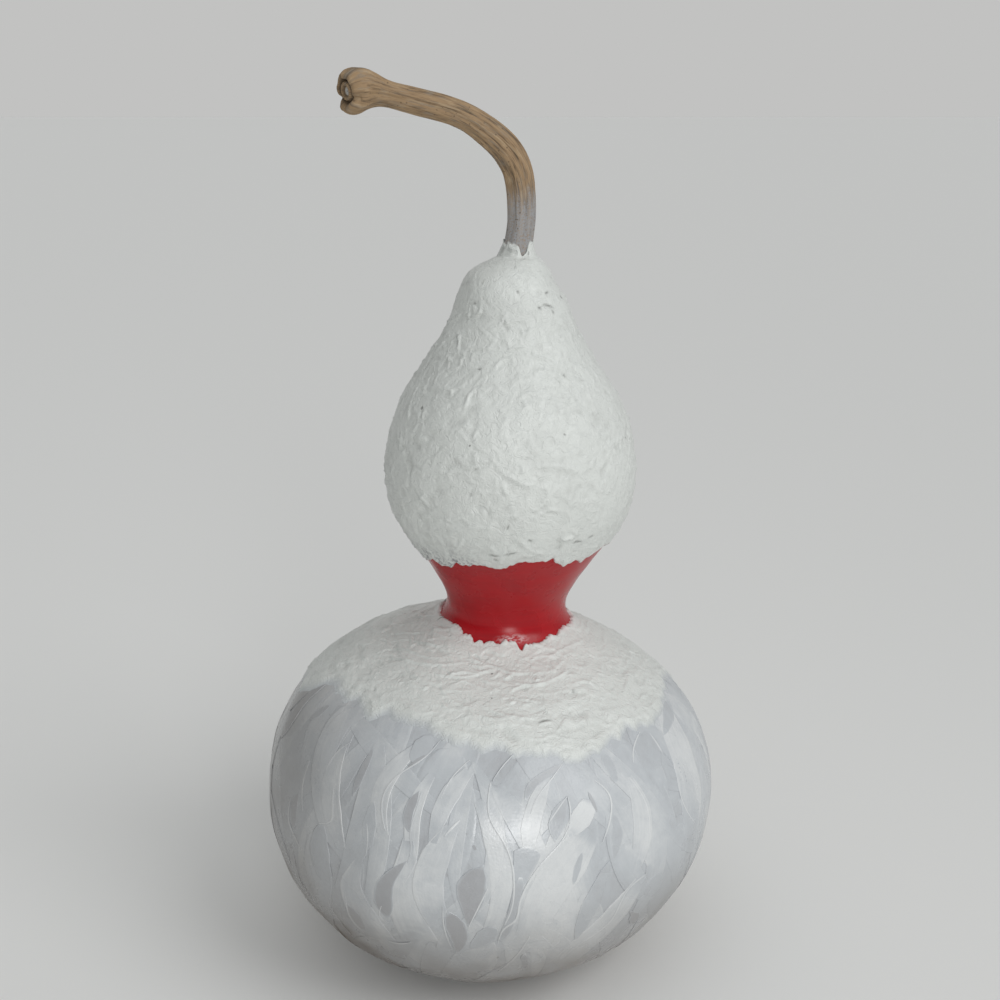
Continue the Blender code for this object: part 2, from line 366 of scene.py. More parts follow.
def makeNeckPaint():
    paint = neckPaint
    material, add = newMaterial("redEnamel")
    here = add("ShaderNodeTexCoord", output="Object")
    lines = grainAt(add, here, [size * mm for size in paint["streak"]], 3.0, 0.6)
    patches = add("ShaderNodeTexNoise", here, 1000 / paint["patch"], 3.0, 0.5)
    # A pale mark low on the front of the neck: partly dry-brushed white, partly a painted highlight
    away = add("ShaderNodeVectorMath", here, tuple(-c * mm for c in paint["scuffAndHighlightAt"]), **plus)
    away = add("ShaderNodeMapping", away, None, None, tuple(1 / (s * mm) for s in paint["scuffAndHighlightSize"]))
    near = add("ShaderNodeMapRange", add("ShaderNodeVectorMath", away, operation="LENGTH"), 1.0, 0.2, **soft)
    dry = grainAt(add, here, [size * mm for size in paint["scuffAndHighlightGrain"]], 4.0, 0.7)
    scuffAndHighlight = add("ShaderNodeMath", near, add("ShaderNodeMapRange", dry, 0.44, 0.56, **soft), **times)
    colour = layered(add, paint["deep"], [
        (wavered(add, lines, 0.5, patches, clamp=True), paint["bright"]),
        (add("ShaderNodeMath", scuffAndHighlight, paint["scuffAndHighlightShare"], **times), paint["scuffAndHighlight"]),
    ])
    rough = add("ShaderNodeMapRange", patches, 0.3, 0.7, *paint["roughness"], **soft)
    endMaterial(add, colour, rough, paint["ior"], lines, paint["streakBump"])
    return material


# Texture paste: trowelled acrylic modelling paste, off-white and satin, with painted shade greying its
# creases, with pinholes
pastePaint = {
    "white": "#D9DCD8",
    "crease": "#B4B6B2",
    "stain": "#8A8B8E",
    "pink": "#D3A9AE",
    "hole": "#5A5955",
    "holes": [(12, 0.6, 0.3), (31, 1.1, 0.35)],     # mm apart and across, share of places with one
    "grain": 0.9,               # mm, as are the next three
    "speckle": 1.6,
    "cloud": 17,
    "wrinkle": 4.0,
    "wrinkleDepth": 0.42,
    "roughness": (0.30, 0.47),
}


def makePastePaint():
    paint = pastePaint
    material, add = newMaterial("texturePaste")
    here = add("ShaderNodeTexCoord", output="Object")
    crease, stain, pink, scratch, thin = (
        add("ShaderNodeAttribute", attribute_name=name, output="Fac")
        for name in ("crease", "stain", "pink", "scratch", "thin")
    )
    grain = add("ShaderNodeTexNoise", here, 1000 / paint["grain"], 3.0, 0.6)
    clouds = add("ShaderNodeTexNoise", here, 1000 / paint["cloud"], 4.0, 0.55)
    speckle = add("ShaderNodeTexNoise", here, 1000 / paint["speckle"], 4.0, 0.7)
    holes = add("ShaderNodeMath", *(
        specksAt(add, here, spacing * mm, size * mm, share) for spacing, size, share in paint["holes"]
    ), operation="MAXIMUM")
    scratch = add("ShaderNodeMath", scratch, 0.8, **times)
    dark = add("ShaderNodeMath", add("ShaderNodeMath", holes, 0.6, **times), scratch, operation="MAXIMUM")
    broken = add("ShaderNodeMapRange", speckle, 0.46, 0.6, **soft)
    colour = layered(add, paint["white"], [
        # Painted shade greys the paste in its creases
        (add("ShaderNodeMath", crease, 0.3, **times), paint["crease"]),
        (add("ShaderNodeMapRange", clouds, 0.35, 0.75, 0.0, 0.16, **soft), paint["crease"]),
        (add("ShaderNodeMath", stain, broken, **times), paint["stain"]),
        (pink, paint["pink"]),
        (dark, paint["hole"]),
        (thin, bowlPaint["glaze"]),
    ])
    # Fine wrinkles, where the skin of the paste was dragged
    drag = add("ShaderNodeTexNoise", here, 1000 / paint["wrinkle"], 3.0, 0.55, 2.0, 1.2)
    wrinkles = add("ShaderNodeMath", add("ShaderNodeMath", drag, 0.5, **minus), operation="ABSOLUTE")
    relief = add("ShaderNodeMath", grain, 0.3, add("ShaderNodeMath", holes, -0.6, **times), **timesPlus)
    relief = add("ShaderNodeMath", wrinkles, -2.5, relief, **timesPlus)
    rough = add("ShaderNodeMapRange", clouds, 0.3, 0.7, *paint["roughness"], **soft)
    endMaterial(add, colour, rough, 1.5, relief, paint["wrinkleDepth"])
    return material


# Stem: dry fibrous gourd stem, matt, tan with dark lengthwise streaks, washed grey near its foot
stemWood = {
    "tan": "#A08565",
    "dark": "#5A4A38",
    "pale": "#BFA888",
    "weathered": "#88837A",
    "wash": "#9C9EA1",
    "paint": "#E0E1DE",
    "fibre": (0.75, 9, 1),      # mm across and along, as are the next three
    "band": (2.6, 17, 1),
    "mottle": (4, 9, 1),
    "grit": (0.7, 0.8, 0.7),
    "spots": (2.6, 0.5, 0.6),   # dark spots: mm apart and across, share of places with one
    "washTop": 0.225,           # share of the stem's length
    "washFade": 0.06,
    "roughness": 0.78,
    "ior": 1.45,
    "fibreBump": 0.22,
}


def makeStemWood():
    wood = stemWood
    material, add = newMaterial("dryStem")
    place = add("ShaderNodeAttribute", attribute_name="brushPlace", output="Vector")
    along, painted, pit = (
        add("ShaderNodeAttribute", attribute_name=name, output="Fac") for name in ("along", "painted", "pit")
    )
    fibres = grainAt(add, place, wood["fibre"], 3.0, 0.6)
    broad = grainAt(add, place, wood["band"], 4.0, 0.65, 0.5)
    mottle = grainAt(add, place, wood["mottle"], 3.0, 0.6)
    grit = add("ShaderNodeMapRange", grainAt(add, place, wood["grit"], 4.0, 0.8), 0.36, 0.6, **soft)
    greyed = add("ShaderNodeMath", add("ShaderNodeMapRange", mottle, 0.5, 0.7, **soft), 0.45, **times)
    # The wash ends raggedly, and grit shows through it
    top, fade = wood["washTop"], wood["washFade"]
    washed = wavered(add, mottle, 0.22, along)
    washed = add("ShaderNodeMapRange", washed, top - fade, top + fade, 1.0, 0.0, **soft)
    washed = add("ShaderNodeMath", washed, add("ShaderNodeMath", grit, 0.6, 0.38, **timesPlus), **times)
    colour = layered(add, wood["dark"], [
        (add("ShaderNodeMapRange", broad, 0.28, 0.56, **soft), wood["tan"]),
        (add("ShaderNodeMapRange", fibres, 0.52, 0.72, 0.0, 0.55, **soft), wood["pale"]),
        (add("ShaderNodeMapRange", fibres, 0.44, 0.3, 0.0, 0.5, **soft), wood["dark"]),
        (greyed, wood["weathered"]),
        (washed, wood["wash"]),
        (add("ShaderNodeMath", specksAt(add, place, *wood["spots"]), 0.6, **times), wood["dark"]),
        (painted, wood["paint"]),
        (pit, wood["dark"]),
    ])
    relief = add("ShaderNodeMath", broad, 1.2, fibres, **timesPlus)
    endMaterial(add, colour, wood["roughness"], wood["ior"], relief, wood["fibreBump"])
    return material


paintMaterial = makeBowlPaint()
neckMaterial = makeNeckPaint()
pasteMaterial = makePastePaint()
stemMaterial = makeStemWood()
print("materials made")


# The gourd's own surface: rows are spaced by what shows, in mm along the outline
skin = {
    "columns": 390,
    # Height at a band's top, and the spacing of its rows
    "bands": [(2.5, 3.2), (132, 1.6), (166, 3.0), (224, 0.85), (345.5, 4.5)],
    "baseRings": (0.04, 0.35, 0.7),
    "lidRings": (0.5, 0.02),
    "neck": (163, 226),         # heights between which the red shows or runs under the paste
    "tone": 0.42,
    "sway": [(0.05, 34, 11), (0.03, 9, 12)],    # how far the tone wanders, over how many mm, seed
    "streak": 0.22,
}


def bandLengths():
    lengths = [0.0]
    for top, spacing in skin["bands"]:
        start, end = lengths[-1], float(lengthAt(top))
        count = max(1, round((end - start) / spacing))
        lengths += [start + (end - start) * (i + 1) / count for i in range(count)]
    return np.array(lengths)


def groundTone(points, sways=1):
    return skin["tone"] + sum(far * softNoise(points, size, seed) for far, size, seed in skin["sway"][:sways])


def makeSkin():
    columns = skin["columns"]
    azimuth, _ = allRound(columns)
    lengths = bandLengths()
    points, out = rind(lengths[:, None], azimuth[None, :])
    centre = np.array([points[0, :, 0].mean(), points[0, :, 1].mean(), 0.0])
    floor = [centre + (points[0] - centre) * share for share in skin["baseRings"]]
    top = points[-1].mean(axis=0)
    lid = [top + (points[-1] - top) * share for share in skin["lidRings"]]
    grid = np.concatenate([floor, points, lid])
    ways = np.concatenate([[out[0] * 0 + (0, 0, -1)] * len(floor), out, [out[-1] * 0 + (0, 0, 1)] * len(lid)])
    rows = len(grid)
    allLengths = np.concatenate([np.zeros(len(floor)), lengths, [lengths[-1]] * len(lid)])
    quads = ringQuads(rows, columns).tolist()
    last = (rows - 1) * columns
    faces = quads + [list(range(columns))[::-1], [last + j for j in range(columns)]]
    flat = grid.reshape(-1, 3)
    around = np.tile(azimuth * 100, rows)
    piece = makePiece("paintedGourd", flat, faces, {
        "tone": groundTone(flat, 2),
        "streak": np.full(len(flat), skin["streak"]),
        "brushPlace": np.stack([around, np.repeat(allLengths, columns), np.zeros(len(flat))], axis=1),
        "out": ways.reshape(-1, 3),
    }, (paintMaterial, neckMaterial))
    heights = np.repeat(heightAt(allLengths), columns)
    slots = np.zeros(len(faces), np.int32)
    middle = heights[np.array(quads)].mean(axis=1)
    low, high = skin["neck"]
    slots[:len(quads)] = (middle > low) & (middle < high)
    piece.data.polygons.foreach_set("material_index", slots)
    return piece


gourdPiece = makeSkin()
rindTree = BVHTree.FromPolygons(
    [vertex.co.copy() for vertex in gourdPiece.data.vertices],
    [tuple(face.vertices) for face in gourdPiece.data.polygons],
)
print("gourd surface made", len(gourdPiece.data.polygons))


# Camera, from the view above
def aim():
    lift = math.radians(view["elevation"])
    x, y, z = view["target"]
    away = view["distance"]
    return (x, y - away * math.cos(lift), z + away * math.sin(lift)), lift


def addCamera():
    place, lift = aim()
    data = bpy.data.cameras.new("camera")
    data.lens = view["lens"]
    data.sensor_width = view["sensor"]
    data.clip_start = 0.01
    data.clip_end = 50
    camera = bpy.data.objects.new("camera", data)
    camera.location = [c * mm for c in place]
    camera.rotation_euler = (math.pi / 2 - lift, 0, 0)
    bpy.context.collection.objects.link(camera)
    bpy.context.scene.camera = camera


def rayThrough(pixel):
    # Start and direction, in metres, of the sight line through a pixel of the photograph
    place, lift = aim()
    half = view["side"] / 2
    focal = view["lens"] / view["sensor"] * view["side"]
    right, up = (pixel[0] - half) / focal, (half - pixel[1]) / focal
    way = Vector((right, math.cos(lift) + up * math.sin(lift), up * math.cos(lift) - math.sin(lift)))
    return Vector([c * mm for c in place]), way.normalized()


def seenOn(pixels):
    # The gourd's points, in mm, behind pixels of the photograph; those that miss it are left out
    hits = [rindTree.ray_cast(*rayThrough(pixel))[0] for pixel in pixels]
    return np.array([np.array(hit) / mm for hit in hits if hit is not None])


# Each brush stroke is a long leaf of paint laid on the bowl, over the strokes before it.
# Halves are half length and half width in mm, fades are the shares of a stroke in which it starts
# and dies away.
strokes = {
    "seed": 21,
    "heights": (3, 152),
    "top": 158,                 # mm, none reaches past this height
    "early": {"count": 150, "halves": ((34, 60), (8, 15)), "strength": (0.30, 0.65), "tone": (0.55, 0.95)},
    "late": {"count": 165, "halves": ((18, 44), (3.2, 8.5)), "strength": (0.22, 0.60), "tone": (0.60, 1.0)},
    "greyShare": 0.18,          # of the strokes, thin grey glazes
    "gapShare": 0.12,           # of the late strokes off the front, leaves of bare ground
    "feather": (0.15, 1.5),     # share of a stroke's half width over which one side dies away
    "fadeIn": (0.05, 0.35),
    "fadeOut": (0.2, 0.6),
    "lean": 0.27,               # radians either side of straight down
    "bend": 0.0052,             # per mm
    "touch": (-0.95, -0.5, 0, 0.5, 0.95),   # shares of the half width tried for what it crosses
    "levelStep": 0.016,         # mm between overlapping strokes
    "bead": 0.042,              # mm, the ridge at a stroke's edge
    "sink": 0.02,               # mm, the rim goes this far under the paint or the bowl below it
    # Points along and across: early strokes, late ones, and those in the photograph
    "grids": ((26, 9), (40, 13), (36, 11)),
    "ridgePaint": (1.06, 0.78), # tone and cover of a narrow ridge, and its height in mm
    "ridgeCrest": 0.055,
    "near": 2.5,                # mm, strokes in the photograph this close are stacked
}
# Leaves of ground seen between strokes: tone, cover, edge beads left and right, then x, y and width in pixels
gaps = [
    (0.42, 0.6, 0.0, 0.0, [(433, 736, 10), (423, 747, 20), (411, 762, 9)]),
    (0.08, 0.9, 0.0, 0.5, [(427, 755, 2), (418, 761, 5), (407, 769, 2)]),
    (0.16, 0.8, 0.2, 0.2, [(375, 747, 2), (366, 765, 7), (358, 783, 7), (353, 796, 2)]),
    (0.14, 0.85, 0.3, 0.8, [(420, 790, 1), (413, 802, 10), (408, 818, 10), (409, 833, 4)]),
    (0.06, 0.92, 0.4, 0.4, [(408, 860, 2), (394, 873, 11), (385, 887, 19), (384, 902, 18), (388, 919, 7)]),
    (0.04, 0.9, 0.1, 0.1, [
        (484, 864, 1), (478, 875, 20), (472, 887, 32), (471, 900, 27), (470, 914, 14), (468, 929, 1),
    ]),
    (0.03, 0.92, 0.7, 0.1, [(448, 911, 7), (455, 925, 20), (459, 938, 18), (457, 953, 4)]),
    (0.32, 0.7, 0.0, 0.4, [(495, 926, 12), (486, 936, 17), (470, 948, 5)]),
    (0.14, 0.8, 0.4, 0.2, [(347, 904, 4), (354, 915, 10), (364, 930, 4)]),
    (0.14, 0.8, 0.3, 0.2, [(299, 793, 2), (295, 804, 7), (294, 818, 6), (293, 830, 2)]),
    (0.10, 0.75, 0.0, 0.0, [(327, 684, 2), (305, 701, 5), (294, 716, 6), (281, 738, 3)]),
    (0.22, 0.7, 0.0, 0.3, [(331, 705, 2), (320, 712, 6), (309, 720, 3)]),
    (0.34, 0.6, 0.0, 0.0, [(323, 822, 10), (320, 850, 19), (328, 884, 12)]),
    (0.42, 0.55, 0.3, 0.0, [(374, 800, 4), (370, 824, 14), (368, 850, 8)]),
    (0.24, 0.8, 0.4, 0.3, [(563, 764, 4), (544, 776, 8), (531, 787, 9), (525, 801, 4)]),
    (0.30, 0.8, 0.2, 0.3, [(567, 796, 1), (560, 812, 15), (556, 826, 17), (555, 843, 3)]),
    (0.34, 0.75, 0.0, 0.0, [(528, 846, 30), (526, 858, 26), (522, 872, 19), (518, 888, 12)]),
    (0.22, 0.85, 0.0, 0.0, [(521, 876, 12), (517, 892, 9), (513, 908, 8), (508, 925, 9), (500, 941, 7)]),
    (0.34, 0.8, 0.0, 0.0, [(644, 731, 4), (647, 743, 23), (647, 757, 28), (646, 770, 8)]),
    (0.34, 0.7, 0.2, 0.0, [(602, 754, 8), (609, 766, 10), (616, 784, 5)]),
    (0.10, 0.85, 0.0, 0.3, [(588, 792, 2), (593, 803, 4), (597, 812, 2)]),
    (0.28, 0.7, 0.0, 0.2, [(613, 813, 4), (617, 834, 12), (614, 858, 3)]),
    (0.08, 0.9, 0.3, 0.3, [(629, 911, 2), (634, 916, 8), (633, 923, 1)]),
    (0.34, 0.65, 0.0, 0.3, [(662, 873, 6), (653, 885, 13), (644, 897, 6)]),
    (0.30, 0.7, 0.0, 0.0, [(582, 852, 3), (577, 868, 7), (573, 885, 3)]),
    (0.22, 0.8, 0.2, 0.2, [(523, 954, 7), (525, 962, 6), (527, 971, 1)]),
    (0.30, 0.6, 0.0, 0.2, [(668, 700, 4), (668, 716, 9), (663, 736, 3)]),
    (0.36, 0.6, 0.0, 0.0, [(610, 860, 6), (590, 905, 16), (575, 940, 6)]),
    (0.02, 0.9, 0.0, 0.0, [(473, 845, 3), (476, 850, 3)]),
]
# Broad strokes seen in the photograph, given in the same way
sweeps = [
    (0.95, 0.75, 0.0, 0.8, [(432, 775, 8), (418, 800, 15), (412, 830, 16), (410, 862, 12), (400, 885, 6)]),
    (0.88, 0.65, 0.4, 0.2, [(408, 838, 10), (406, 870, 26), (404, 900, 30), (420, 940, 26)]),
    (0.90, 0.65, 0.5, 0.0, [(452, 828, 14), (436, 856, 30), (428, 890, 32), (440, 925, 20)]),
    (0.90, 0.7, 0.0, 0.0, [(478, 800, 10), (495, 840, 24), (502, 880, 24), (494, 920, 16), (478, 950, 8)]),
    (0.92, 0.75, 0.0, 0.2, [(590, 830, 24), (568, 862, 40), (546, 896, 38), (530, 935, 26)]),
    (0.99, 0.85, 0.5, 0.7, [(588, 799, 10), (587, 806, 18), (581, 818, 22), (573, 828, 16), (566, 836, 6)]),
    (0.86, 0.6, 0.0, 0.6, [(628, 776, 6), (640, 806, 18), (642, 838, 18), (636, 866, 10)]),
    (0.90, 0.65, 0.0, 0.5, [(655, 690, 8), (676, 740, 22), (690, 790, 22), (690, 840, 12)]),
    (0.88, 0.7, 0.6, 0.0, [(640, 880, 10), (618, 910, 18), (590, 938, 18), (560, 962, 12)]),
    (0.80, 0.6, 0.0, 0.7, [(345, 745, 6), (332, 780, 18), (333, 815, 18), (342, 850, 8)]),
    (0.84, 0.6, 0.0, 0.8, [(420, 745, 8), (392, 772, 18), (380, 800, 18), (384, 836, 10)]),
    (0.82, 0.55, 0.5, 0.0, [(360, 860, 8), (352, 885, 20), (362, 912, 22), (384, 940, 14)]),
    (0.86, 0.6, 0.3, 0.3, [(470, 770, 10), (452, 792, 20), (440, 815, 18), (432, 845, 8)]),
    (0.90, 0.6, 0.2, 0.4, [(548, 775, 6), (538, 800, 18), (530, 830, 20), (528, 850, 10)]),
]
# Narrow ridges of paint: x and y in pixels, with the width in pixels first
ridges = [
    (1.8, [(441, 740), (426, 757), (398, 776), (384, 795), (382, 810), (386, 832)]),
    (2.4, [(334, 787), (333, 810), (331, 821), (319, 823)]),
    (2.8, [(460, 820), (452, 828), (444, 837)]),
    (2.0, [(491, 781), (488, 802), (490, 818), (503, 841), (512, 864), (514, 885), (511, 910), (503, 927)]),
    (2.0, [(422, 791), (416, 812), (411, 833), (411, 852), (407, 864)]),
    (1.5, [(346, 890), (350, 915), (367, 934)]),
    (1.4, [(367, 823), (368, 842), (366, 856)]),
    (1.4, [(388, 940), (400, 943), (411, 942)]),
    (1.5, [(291, 798), (289, 821), (298, 843), (301, 851)]),
    (1.7, [(488, 888), (478, 908), (468, 928)]),
    (1.6, [(443, 905), (444, 925), (452, 948)]),
    (2.2, [(570, 823), (563, 839), (544, 861), (527, 885), (519, 906), (515, 920), (504, 928), (498, 943)]),
    (1.8, [(563, 763), (549, 782), (536, 800), (530, 815)]),
    (1.7, [(567, 796), (560, 806), (549, 822)]),
    (1.7, [(567, 796), (570, 810), (569, 824)]),
    (1.6, [(640, 731), (633, 750), (633, 763)]),
    (1.5, [(649, 733), (656, 743), (662, 753)]),
    (2.4, [(629, 777), (645, 802), (649, 818), (648, 840)]),
    (1.3, [(676, 776), (686, 810), (695, 824)]),
    (1.6, [(712, 786), (709, 812), (697, 845), (695, 853)]),
    (2.0, [(594, 780), (609, 795), (611, 812), (602, 843)]),
    (2.4, [(647, 873), (626, 892), (613, 917), (579, 944), (558, 960)]),
    (1.8, [(571, 946), (565, 952), (559, 958)]),
    (1.4, [(352, 742), (338, 752), (326, 770)]),
    (1.4, [(470, 760), (452, 778), (440, 800)]),
    (1.5, [(516, 752), (500, 770), (492, 782)]),
    (1.4, [(694, 730), (704, 750), (709, 775)]),
    (1.4, [(310, 760), (303, 785), (303, 812)]),
    (1.3, [(382, 905), (380, 915), (389, 922)]),
    (1.6, [(530, 935), (515, 957), (497, 972)]),
]


def leafWidth(share, blunt):
    # Width of a stroke, as a share of its widest, from its start at 0 to its end at 1
    return np.clip(np.sin(math.pi * np.clip(share, 0, 1) ** 0.85), 0, 1) ** blunt


def coverOf(plan, across, share):
    # How much of what lies under a stroke its paint hides
    fades = ease(share / plan["fadeIn"]) * ease((1 - share) / plan["fadeOut"])
    sides = ease((1 - plan["featherSide"] * across) / plan["feather"])
    return np.clip(plan["strength"] * fades * sides, 0, 1)


def beadOf(plan, across, share):
    # The bead along a stroke's edges comes and goes
    wander = ease(0.55 + 0.75 * np.sin(plan["turn"] + share * plan["waves"] * 6.3))
    return np.where(across < 0, plan["beadLeft"], plan["beadRight"]) * wander


def planStrokes():
    draw = np.random.default_rng(strokes["seed"])
    low, high = (float(lengthAt(h)) for h in strokes["heights"])
    rows = []
    for early in (True, False):
        kind = strokes["early" if early else "late"]
        count = 0
        while count < kind["count"]:
            length, azimuth = draw.uniform(low, high), draw.uniform(-math.pi, math.pi)
            if draw.random() > radiusAt(length) / 112:
                continue
            count += 1
            point, out = rind(np.array([length]), np.array([azimuth]))
            point, out = point[0], out[0]
            # Strokes shorten towards the resting spot, where the bowl narrows
            narrow = 0.45 + 0.55 * min(1, radiusAt(length) / 80)
            halfLength, halfWidth = (draw.uniform(*limits) * narrow for limits in kind["halves"])
            halfLength = min(halfLength, max(10, float(lengthAt(strokes["top"])) - length))
            signed = (math.degrees(azimuth) + 180) % 360 - 180
            flow = -0.34 * math.exp(-((signed + 112) / 24) ** 2) + 0.22 * math.exp(-((signed + 55) / 22) ** 2)
            turn = draw.normal(flow, strokes["lean"]) + (draw.random() < 0.10) * draw.uniform(-0.9, 0.9)
            down = np.cross(np.cross(out, (0, 0, -1)), out)
            down /= np.linalg.norm(down)
            way = down * math.cos(turn) + np.cross(out, down) * math.sin(turn)
            grey = draw.random() < strokes["greyShare"]
            gap = not early and draw.random() < strokes["gapShare"] and not -150 < signed < -30
            tone, strength = draw.uniform(*kind["tone"]), draw.uniform(*kind["strength"])
            fadeIn, fadeOut = draw.uniform(*strokes["fadeIn"]), draw.uniform(*strokes["fadeOut"])
            blunt, beads = draw.uniform(0.4, 0.9), draw.uniform(0, 1, 2) ** 1.6
            feather, featherSide = draw.uniform(*strokes["feather"]), draw.choice((-1, 1))
            beads[int(featherSide > 0)] *= 0.15
            if grey:
                tone, strength = tone * 0.40, strength * 0.7
            if gap:
                tone, strength, fadeIn, fadeOut, blunt, feather = 0.12, 0.8, 0.05, 0.05, 1.2, 0.3
                halfLength, halfWidth = halfLength * 0.6, halfWidth * 0.8
            rows.append({
                "centre": point, "out": out, "way": way, "side": np.cross(out, way),
                "halfLength": halfLength, "halfWidth": halfWidth, "bend": draw.normal(0, strokes["bend"]),
                "tone": tone, "strength": strength, "fadeIn": fadeIn, "fadeOut": fadeOut, "blunt": blunt,
                "beadLeft": beads[0], "beadRight": beads[1], "turn": draw.uniform(0, 6.3),
                "waves": draw.uniform(0.4, 1.4), "early": early,
                "feather": feather, "featherSide": featherSide,
            })
    return {key: np.array([row[key] for row in rows]) for key in rows[0]}


def planOf(plans, number):
    return {key: values[number] for key, values in plans.items()}


def placesIn(plans, chosen, points):
    # For each point and chosen stroke: shares along and across the stroke, and whether it lies inside
    away = points[:, None, :] - plans["centre"][chosen]
    half = plans["halfLength"][chosen]
    x = (away * plans["way"][chosen]).sum(-1)
    y = (away * plans["side"][chosen]).sum(-1) - plans["bend"][chosen] * (x * x - half ** 2 / 3)
    share = (x / half + 1) / 2
    width = np.maximum(plans["halfWidth"][chosen] * leafWidth(share, plans["blunt"][chosen]), 0.01)
    inside = (share > 0) & (share < 1) & (np.abs(y) < width) & ((away * plans["out"][chosen]).sum(-1) > -35)
    return share, y / width, inside


def crossing(plans, points, before):
    # Strokes numbered below before that the points come near
    middle, reach = points.mean(axis=0), np.linalg.norm(points - points.mean(axis=0), axis=1).max()
    gap = np.linalg.norm(plans["centre"][:before] - middle, axis=1)
    return np.flatnonzero(gap < plans["halfLength"][:before] * 1.1 + reach)


def underTone(plans, points, before):
    # Tone of the strokes before this one, painted one over the other, at the given points
    tone = groundTone(points)
    chosen = crossing(plans, points, before)
    if len(chosen) == 0:
        return tone
    share, across, inside = placesIn(plans, chosen, points)
    for column, number in enumerate(chosen):
        plan = planOf(plans, number)
        s, a = share[:, column], np.clip(across[:, column], -1, 1)
        tone = paintOver(plan, tone, a, s) * inside[:, column] + tone * ~inside[:, column]
    return tone


def rimmed(tone, strength, across):
    # The bright bead near a stroke's edges
    return tone + strength * ease((np.abs(across) - 0.80) / 0.14) * (1.05 - tone)


def paintOver(plan, tone, across, share):
    tone = tone + (plan["tone"] - tone) * coverOf(plan, across, share)
    return rimmed(tone, 0.5 * beadOf(plan, across, share), across)


def spreadOf(path, shares):
    # Points of a stroke at the given shares of its half width
    points, ups, widths = path
    side = np.cross(np.gradient(points, axis=0), ups)
    side /= np.linalg.norm(side, axis=1, keepdims=True)
    return np.concatenate([points + side * widths[:, None] * share for share in shares])


def levelUnder(plans, levels, path):
    # The highest level of the strokes planned before that a new one crosses
    chosen = crossing(plans, path[0], len(levels))
    if len(chosen) == 0:
        return 0
    touched = placesIn(plans, chosen, spreadOf(path, strokes["touch"]))[2].any(axis=0)
    return levels[chosen[touched]].max() if touched.any() else 0


def rimLevels(plans, levels, path):
    # The level of the paint under a stroke's left and right rims
    chosen = crossing(plans, path[0], len(levels))
    if len(chosen) == 0:
        return np.zeros((2, len(path[0])))
    inside = placesIn(plans, chosen, spreadOf(path, (1, -1)))[2]
    return (inside * levels[chosen]).max(axis=1).reshape(2, -1)


def stackLevels(plans, paths):
    # A stroke lies one level above the highest earlier stroke that it crosses
    levels = np.zeros(len(paths))
    for number, path in enumerate(paths):
        levels[number] = 1 + levelUnder(plans, levels[:number], path)
    return levels


def dropped(points):
    # The nearest points on the bowl, and the directions out of it there
    landed, ups = [], []
    for point in points:
        hit, normal, *_ = rindTree.find_nearest(Vector(point * mm))
        landed.append(np.array(hit) / mm)
        ups.append(np.array(normal))
    return np.array(landed), np.array(ups)


def strokePath(plan, count):
    # The stroke's middle line, bent in the plane that touches the bowl and dropped on to it
    share = np.linspace(0, 1, count)
    x = (2 * share - 1) * plan["halfLength"]
    y = plan["bend"] * (x * x - plan["halfLength"] ** 2 / 3)
    points = plan["centre"] + x[:, None] * plan["way"] + y[:, None] * plan["side"]
    landed, ups = dropped(points)
    return landed, ups, np.maximum(plan["halfWidth"] * leafWidth(share, plan["blunt"]), 0.1)


def seenPath(pixels, count):
    # The same for a stroke seen in the photograph, from the pixels of its middle line and its widths there
    pixels = np.array(pixels, float)
    run = chordLengths(pixels[:, :2])
    at = np.linspace(0, run[-1], count)
    line = smoothCurve(run, pixels[:, :2], at)
    widths = np.interp(at, run, pixels[:, 2])
    ahead = np.gradient(line, axis=0)
    across = np.stack([-ahead[:, 1], ahead[:, 0]], axis=1) / np.linalg.norm(ahead, axis=1, keepdims=True)
    edges = [seenOn(line + across * widths[:, None] * shift) for shift in (-0.5, 0.5)]
    if min(len(edge) for edge in edges) < count:
        return None
    points, ups = dropped((edges[0] + edges[1]) / 2)
    return points, ups, np.maximum(np.linalg.norm(edges[1] - edges[0], axis=1) / 2, 0.15)


def newGeometryTree(name, inputs):
    # The tree, addNode bound to it, and its inputs by name
    tree = bpy.data.node_groups.new(name, "GeometryNodeTree")
    tree.interface.new_socket("Geometry", in_out="INPUT", socket_type="NodeSocketGeometry")
    for label, kind, value in inputs:
        socket = tree.interface.new_socket(label, in_out="INPUT", socket_type=kind)
        if value is not None:
            socket.default_value = value
    tree.interface.new_socket("Geometry", in_out="OUTPUT", socket_type="NodeSocketGeometry")
    add = partial(addNode, tree)
    return tree, add, {socket.name: socket for socket in add("NodeGroupInput", output="all")}


def endGeometryTree(add, shape, material):
    shape = add("GeometryNodeSetShadeSmooth", shape)
    shape = add("GeometryNodeRealizeInstances", shape)
    add("NodeGroupOutput", add("GeometryNodeSetMaterial", shape, None, material))


def runGeometryTree(source, tree, values, name):
    # Puts the tree on source, reads its result as a plain mesh and takes source away
    modifier = source.modifiers.new(tree.name, "NODES")
    modifier.node_group = tree
    names = {item.name: item.identifier for item in tree.interface.items_tree if item.in_out == "INPUT"}
    for label, value in values.items():
        modifier[names[label]] = value
    depsgraph = bpy.context.evaluated_depsgraph_get()
    data = bpy.data.meshes.new_from_object(source.evaluated_get(depsgraph), depsgraph=depsgraph)
    source.modifiers.remove(modifier)
    bpy.data.objects.remove(source)
    data.name = name
    piece = bpy.data.objects.new(name, data)
    bpy.context.collection.objects.link(piece)
    return piece


